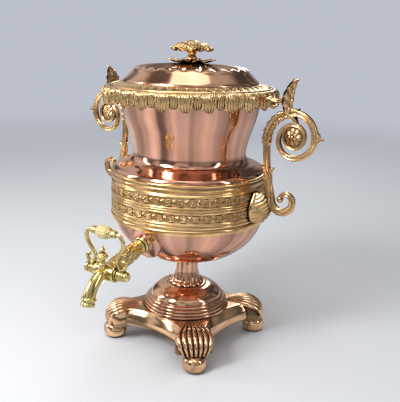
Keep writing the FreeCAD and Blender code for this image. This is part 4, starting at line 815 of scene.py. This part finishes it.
# Tap, in its own upright plane and then turned
SEAT = (0.0, -88.2, 152.0)
DROP = math.radians(11.5)
REACH = 66.5
PLUG = (0.0, SEAT[1] - REACH * math.cos(DROP), SEAT[2] - REACH * math.sin(DROP))
LEAN = math.radians(5)
LEAF_ROW = 8.0
GRIP_HEIGHT = 45
CAP_AT = 21.7


def tap_frame():
    return Matrix.Rotation(TAP_TURN, 4, "Z")


def along(base, axis):
    """A frame whose +Z lies along an axis from a base point."""
    turn = Vector((0, 0, 1)).rotation_difference(Vector(axis)).to_matrix().to_4x4()
    return Matrix.Translation(Vector(base)) @ turn


def tap():
    turn = tap_frame()
    axis = (0, -math.cos(DROP), -math.sin(DROP))
    shank = Pile()

    def carved(angle, r, z):
        part = np.clip((z - 14) / 3, 0, 1) * np.clip((56 - z) / 4, 0, 1)
        row = np.floor(z / LEAF_ROW)
        rise = z / LEAF_ROW - row
        scale = np.abs(np.cos(angle * 3 + row * math.pi / 2))
        leaf = np.clip(scale * 1.5 - rise, 0, 1) ** 0.5 * (1 - 0.25 * np.abs(np.sin(angle * 12)))
        return r * (1 + 0.17 * part * (leaf - 0.6)), z

    shank.lathe(smooth([(6.4, -3), (6.4, 6.5), (6.4, 6.5), (9.4, 7.0), (10.2, 8.2), (9.4, 9.6), (7.4, 10.4),
        (8.4, 11.4), (8.6, 12.6), (7.4, 13.6), (7.8, 17.0), (8.8, 23.0), (9.3, 31.0), (9.0, 39.0),
        (8.4, 47.0), (8.6, 53.0), (8.0, 59.0), (7.0, 64.0), (0, 66.0)], 14), 180, carved,
        place=turn @ along(SEAT, axis))
    half = 13.0
    barrel = smooth([(0, -half), (7.4, -half), (8.6, -half + 0.4), (9.0, -half + 1.4), (8.6, -half + 2.4),
        (8.7, -half + 3.2), (9.1, -6), (9.2, 0), (9.1, 6), (8.7, half - 3.2), (8.6, half - 2.4),
        (9.0, half - 1.4), (8.6, half - 0.4), (7.4, half), (0, half)], 6)
    shank.lathe(barrel, 64, place=turn @ along(PLUG, (1, 0, 0)))
    start = Vector(PLUG) + Vector((0, -3.15, 0))
    curve = 26.0
    centre = start + Vector((0, 0, -curve))
    bend_angle = 75
    angles = np.radians(np.linspace(0, bend_angle, 30))
    bend = [centre + Vector((0, -curve * math.sin(t), curve * math.cos(t))) for t in angles]
    last = math.radians(bend_angle)
    heading = Vector((0, -math.cos(last), -math.sin(last)))
    rings = []
    for i, place in enumerate(bend):
        share = i / (len(bend) - 1)
        t = last * share
        normal = Vector((0, -math.sin(t), math.cos(t)))
        radius = 7.1 - 0.9 * math.sin(math.pi * share)
        ring = []
        for a in np.linspace(0, TAU, 40, endpoint=False):
            ridge = 1 + 0.10 * max(0.0, math.cos(a - math.pi / 2)) ** 6
            aside = Vector((radius * 0.96 * math.cos(a), 0, 0))
            ring.append(place + normal * (radius * math.sin(a) * ridge) + aside)
        rings.append(ring)
    shank.grid(np.array(rings), wrap_v=True, place=turn)
    nozzle = smooth([(6.0, -1.5), (7.0, -1.0), (7.9, 0.2), (8.0, 1.4), (7.2, 2.2), (6.6, 2.8), (6.8, 4.4),
        (7.4, 5.4), (7.6, 6.8), (7.0, 8.0), (4.6, 8.0), (4.4, 5.0), (2.6, 4.0), (2.5, -1.0)], 6)
    shank.lathe(nozzle, 64, place=turn @ along(bend[-1], heading))
    shank.piece("tap_cast_body", BRASS_TAP, "urn", "brass", ("tap_body",))

    plate = Pile()
    rose = smooth([(6.7, 6.8), (10.2, 6.8), (10.8, 5.4), (11.4, 4.2), (14.0, 3.6), (17.6, 2.6), (19.8, 1.2),
        (20.4, -0.6), (20.3, -4.0)], 8)

    def fit_bowl(angle, r, z):
        return r, z - (r / 20.3) ** 2 * (np.sin(angle) ** 2)

    plate.lathe(rose, 120, fit_bowl, place=turn @ along(SEAT, axis))
    plate.piece("tap_rose", COPPER, "urn", "copper", ("tap_escutcheon",))

    urn = Pile()
    base = (0, PLUG[1] - 7, PLUG[2])
    low = 4.0
    urn.lathe(smooth([(4.2, low), (3.8, low + 3), (3.6, low + 6), (2.6, low + 8), (2.2, low + 9.4),
        (3.2, low + 10.2), (3.0, low + 11), (4.6, low + 12.6), (5.9, low + 14.6), (5.9, low + 16.2),
        (5.0, low + 17.2), (4.8, low + 18.4), (3.0, low + 19.6), (1.9, low + 20.4), (3.0, low + 21.8),
        (3.0, low + 23.2), (1.4, low + 25), (1.0, low + 26.6), (0, low + 27.6)], 7), 48,
        place=turn @ along(base, (0, 0, 1)))
    urn.piece("tap_urn_knob", BRASS_TAP, "urn", "brass", ("tap_finial",))


def tap_handle():
    turn = tap_frame() @ Matrix.Translation(PLUG) @ Matrix.Rotation(LEAN, 4, "X")
    arms = Pile()
    for side in (-1, 1):
        path = smooth([(18.4, 0, 4.6), (17.2, 0, 8.0), (14.8, 0, 12.6), (14.6, 0, 17.0), (17.4, 0, 22.0),
            (21.0, 0, 26.8), (23.8, 0, 32.4), (24.0, 0, 38.0), (22.0, 0, 42.6), (18.8, 0, 44.8),
            (16.0, 0, 45.0)], 8) * (side, 1, 1)
        radius = np.interp(np.linspace(0, 1, len(path)), [0, 0.25, 0.6, 1], [2.9, 2.1, 2.3, 2.0])
        lyre = Pile()
        lyre.tube(path, radius, 20)
        arms.join(lyre, turn)
        curl = smooth([(18.6, 0, 5.0), (22.6, 0, 7.6), (25.6, 0, 11.6), (25.2, 0, 15.4), (22.6, 0, 16.6),
            (21.6, 0, 14.4)], 8)
        hook = Pile()
        hook.tube(curl * (side, 1, 1), np.linspace(2.3, 1.3, len(curl)), 16)
        arms.join(hook, turn)
        boss = smooth([(3.6, 15.1), (5.4, 15.1), (6.0, 16.0), (5.4, 17.0), (5.9, 18.4), (5.4, 19.8),
            (6.0, 20.8), (5.2, 21.7), (3.6, 21.7)], 5)
        arms.lathe(boss, 48, place=turn @ along((0, 0, 0), (side, 0, 0)))
    arms.piece("lyre_cast", BRASS_TAP, "tap_handle", "brass", ("lyre_arms",))
    grip = Pile()

    def melon(angle, r, x):
        lobes = np.abs(np.cos(angle * 6))
        rings = np.abs(np.cos(x * 1.25))
        return r * (1 - (0.10 * (1 - lobes ** 0.5) + 0.07 * (1 - rings ** 0.5)) * (r > 3)), x

    half = 7.8
    outline = smooth([(1.6, -half), (4.2, -half), (5.8, -half + 1.2), (6.8, -half + 3.2), (7.2, -1.5),
        (7.2, 1.5), (6.8, half - 3.2), (5.8, half - 1.2), (4.2, half), (1.6, half)], 12)
    grip.lathe(outline, 160, melon, place=turn @ along((0, 0, GRIP_HEIGHT), (1, 0, 0)))
    grip.piece("ivory_grip", IVORY, "tap_handle", "ivory", ("tap_grip",))
    ends = Pile()

    def flutes(angle, r, x):
        part = np.clip((x - half - 2) / 1, 0, 1) * np.clip((half + 7 - x) / 1, 0, 1)
        return r * (1 - 0.13 * part * (1 - np.abs(np.cos(angle * 5)) ** 0.5)), x

    for side in (-1, 1):
        cup = smooth([(1.6, half), (4.7, half), (4.9, half + 0.9), (4.3, half + 1.8), (3.9, half + 2.6),
            (4.2, half + 4.4), (3.9, half + 6.2), (3.5, half + 7.0), (3.7, half + 7.8), (2.8, half + 8.5),
            (1.6, half + 8.5)], 6)
        ends.lathe(cup, 96, flutes, place=turn @ along((0, 0, GRIP_HEIGHT), (side, 0, 0)))
    ends.piece("grip_cups", BRASS_TAP, "tap_handle", "brass", ("grip_ferrules",))
    caps = Pile()
    place = tap_frame() @ Matrix.Translation(PLUG)
    caps.lathe(smooth([(3.5, CAP_AT), (5.4, CAP_AT), (5.7, CAP_AT + 1.0), (4.8, CAP_AT + 2.0),
        (5.3, CAP_AT + 3.2), (4.9, CAP_AT + 4.8), (3.4, CAP_AT + 6.2), (0, CAP_AT + 7.0)], 6), 48,
        place=place @ along((0, 0, 0), (1, 0, 0)))
    caps.piece("plug_cap_turned", BRASS_TAP, "tap_handle", "brass", ("plug_cap_nut",))
    knob = Pile()
    knob.lathe(smooth([(3.5, CAP_AT), (4.6, CAP_AT), (4.0, CAP_AT + 1.2), (5.0, CAP_AT + 2.6),
        (5.6, CAP_AT + 4.4), (5.0, CAP_AT + 6.2), (2.8, CAP_AT + 7.6), (0, CAP_AT + 8.0)], 6), 48,
        place=place @ along((0, 0, 0), (-1, 0, 0)))
    knob.piece("plug_knob_turned", BRASS_TAP, "tap_handle", "brass", ("plug_knob",))


def carried_over():
    """Materials for the frame's own nodes that keep their shape."""
    finish = {"copper": COPPER, "brass": BRASS, "iron": IRON, "steel": STEEL, "ivory": IVORY,
        "seal": LEATHER}
    slots = {entry["node"]: entry["material_slot"] for entry in frame["record"]["subparts"]}
    for name, obj in frame["nodes"].items():
        material = finish[slots[name]]
        if name.startswith(("tap_", "plug_")) and slots[name] == "brass":
            material = BRASS_TAP
        obj.data.materials.clear()
        obj.data.materials.append(material)


# Floor, light and camera
BACKDROP = (0.50, 0.53, 0.60)
FLOOR_REACH = 60.0
LAMP_TARGET = Vector((0, 0, 0.18))


def stage():
    """A pale floor, with painted darker and brighter patches that only its reflections show, and the
    backdrop's colour far away.
    """
    mesh = bpy.data.meshes.new("floor")
    corners = ((-1, -1), (1, -1), (1, 1), (-1, 1))
    mesh.from_pydata([(x * FLOOR_REACH, y * FLOOR_REACH, 0) for x, y in corners], [], [(0, 1, 2, 3)])
    floor = bpy.data.objects.new("floor", mesh)
    bpy.context.scene.collection.objects.link(floor)
    material, tree, shader = fresh_material("pale_floor")
    link = tree.links.new
    shader.inputs["Roughness"].default_value = 0.75
    grain = node_of(tree, "ShaderNodeTexNoise", Scale=5.0, Detail=6.0)
    tone = blend(tree, grain.outputs["Fac"], (0.60, 0.62, 0.66), (0.68, 0.70, 0.73))
    level = node_of(tree, "ShaderNodeVectorMath", operation="MULTIPLY")
    level.inputs[1].default_value = (1, 1, 0)
    link(node_of(tree, "ShaderNodeTexCoord").outputs["Object"], level.inputs[0])
    bearing = node_of(tree, "ShaderNodeVectorMath", operation="NORMALIZE")
    link(level.outputs["Vector"], bearing.inputs[0])
    # Painted reflections: a tone by bearing round the urn scales the floor's colour for glossy rays only,
    # so the metal reflects dark and bright patches that are not in the room
    painted_reflection_tone = noise(tree, bearing.outputs["Vector"], Scale=1.15, Detail=3.0)
    rays = node_of(tree, "ShaderNodeLightPath")
    shown = node_of(tree, "ShaderNodeMix")
    shown.inputs["A"].default_value = 1.0
    link(rays.outputs["Is Glossy Ray"], shown.inputs["Factor"])
    link(remap(tree, painted_reflection_tone, (0.36, 0.62), (0.12, 1.45)), shown.inputs["B"])
    final = node_of(tree, "ShaderNodeVectorMath", operation="SCALE")
    link(tone, final.inputs[0])
    link(shown.outputs["Result"], final.inputs["Scale"])
    link(final.outputs["Vector"], shader.inputs["Base Color"])
    away = node_of(tree, "ShaderNodeVectorMath", operation="LENGTH")
    link(level.outputs["Vector"], away.inputs[0])
    fade = remap(tree, away.outputs["Value"], (0.35, 2.6), interpolation_type="SMOOTHSTEP")
    glow = node_of(tree, "ShaderNodeEmission")
    glow.inputs["Color"].default_value = (*BACKDROP, 1)
    joined = node_of(tree, "ShaderNodeMixShader")
    link(combine(tree, "MULTIPLY", fade, rays.outputs["Is Camera Ray"]), joined.inputs["Fac"])
    link(shader.outputs["BSDF"], joined.inputs[1])
    link(glow.outputs["Emission"], joined.inputs[2])
    link(joined.outputs["Shader"], tree.nodes["Material Output"].inputs["Surface"])
    mesh.materials.append(material)


def world():
    """A grey room: bright to the front left, dark to the right, and pale where the camera sees it."""
    sky = bpy.data.worlds.new("studio")
    sky.use_nodes = True
    tree = sky.node_tree
    link = tree.links.new
    spot = node_of(tree, "ShaderNodeTexCoord").outputs["Generated"]
    facing = node_of(tree, "ShaderNodeVectorMath", operation="DOT_PRODUCT")
    facing.inputs[1].default_value = (-0.45, -0.62, 0.64)
    link(spot, facing.inputs[0])
    flat = node_of(tree, "ShaderNodeVectorMath", operation="MULTIPLY")
    flat.inputs[1].default_value = (1.0, 1.0, 0.12)
    link(spot, flat.inputs[0])
    panels = noise(tree, flat.outputs["Vector"], Scale=2.6, Detail=1.5)
    room = combine(tree, "MULTIPLY", remap(tree, facing.outputs["Value"], (-0.7, 1.0), (0.16, 0.80)),
        remap(tree, panels, (0.42, 0.58), (0.20, 1.15)))
    seen = node_of(tree, "ShaderNodeLightPath").outputs["Is Camera Ray"]
    back = tree.nodes["Background"]
    link(blend(tree, seen, room, BACKDROP), back.inputs["Color"])
    back.inputs["Strength"].default_value = 1.0
    bpy.context.scene.world = sky


def lamp(name, azimuth, elevation, distance, size, power):
    """A panel at a bearing and height angle in degrees, in metres and watts, aimed at the urn."""
    data = bpy.data.lights.new(name, "AREA")
    data.shape = "RECTANGLE"
    data.size, data.size_y = size
    data.energy = power
    obj = bpy.data.objects.new(name, data)
    a, e = math.radians(azimuth), math.radians(elevation)
    offset = Vector((math.sin(a) * math.cos(e), -math.cos(a) * math.cos(e), math.sin(e))) * distance
    obj.location = LAMP_TARGET + offset
    obj.rotation_euler = (-offset).to_track_quat("-Z", "Y").to_euler()
    bpy.context.scene.collection.objects.link(obj)


def camera():
    """The photo's camera: place, direction, roll and lens, from the fit."""
    azimuth, distance, height = math.radians(37.64), 672.6, 373.0
    yaw, pitch, roll = math.radians(-1.24), math.radians(15.95), math.radians(-1.75)
    place = Vector((distance * math.sin(azimuth), -distance * math.cos(azimuth), height)) * MM
    ahead = Matrix.Rotation(yaw, 3, "Z") @ Vector((-math.sin(azimuth), math.cos(azimuth), 0))
    right = Vector((ahead.y, -ahead.x, 0))
    forward = ahead * math.cos(pitch) + Vector((0, 0, -math.sin(pitch)))
    up = right.cross(forward)
    side = right * math.cos(roll) - up * math.sin(roll)
    top = right * math.sin(roll) + up * math.cos(roll)
    data = bpy.data.cameras.new("camera")
    data.sensor_fit = "HORIZONTAL"
    data.sensor_width = 36.0
    data.lens = 561.4 / 400 * 36.0
    data.clip_start = 0.01
    obj = bpy.data.objects.new("camera", data)
    turn = Matrix((side, top, -forward)).transposed()
    obj.matrix_world = Matrix.Translation(place) @ turn.to_4x4()
    bpy.context.scene.collection.objects.link(obj)
    bpy.context.scene.camera = obj


carried_over()
vessel()
belly_band()
mouth_rim()
leaf_skirt()
lid()
rosette()
finial()
plinth()
castings()
feet()
pedestal()
handle()
scroll_rosettes()
for side_name, side_sign in SIDES:
    acanthus(side_name, side_sign)
    shell_leaf(side_name, side_sign)
tap()
tap_handle()
stage()
world()
lamp("key", -12, 38, 1.25, (0.32, 0.46), 14)
lamp("fill", 96, 24, 1.3, (0.12, 0.9), 2.2)
lamp("window", -58, 18, 1.3, (0.14, 0.9), 3.4)
lamp("top", 20, 78, 1.2, (0.7, 0.7), 3.5)
lamp("back", 205, 30, 1.5, (0.2, 0.8), 3.5)
camera()
bpy.context.scene.view_settings.view_transform = "Standard"
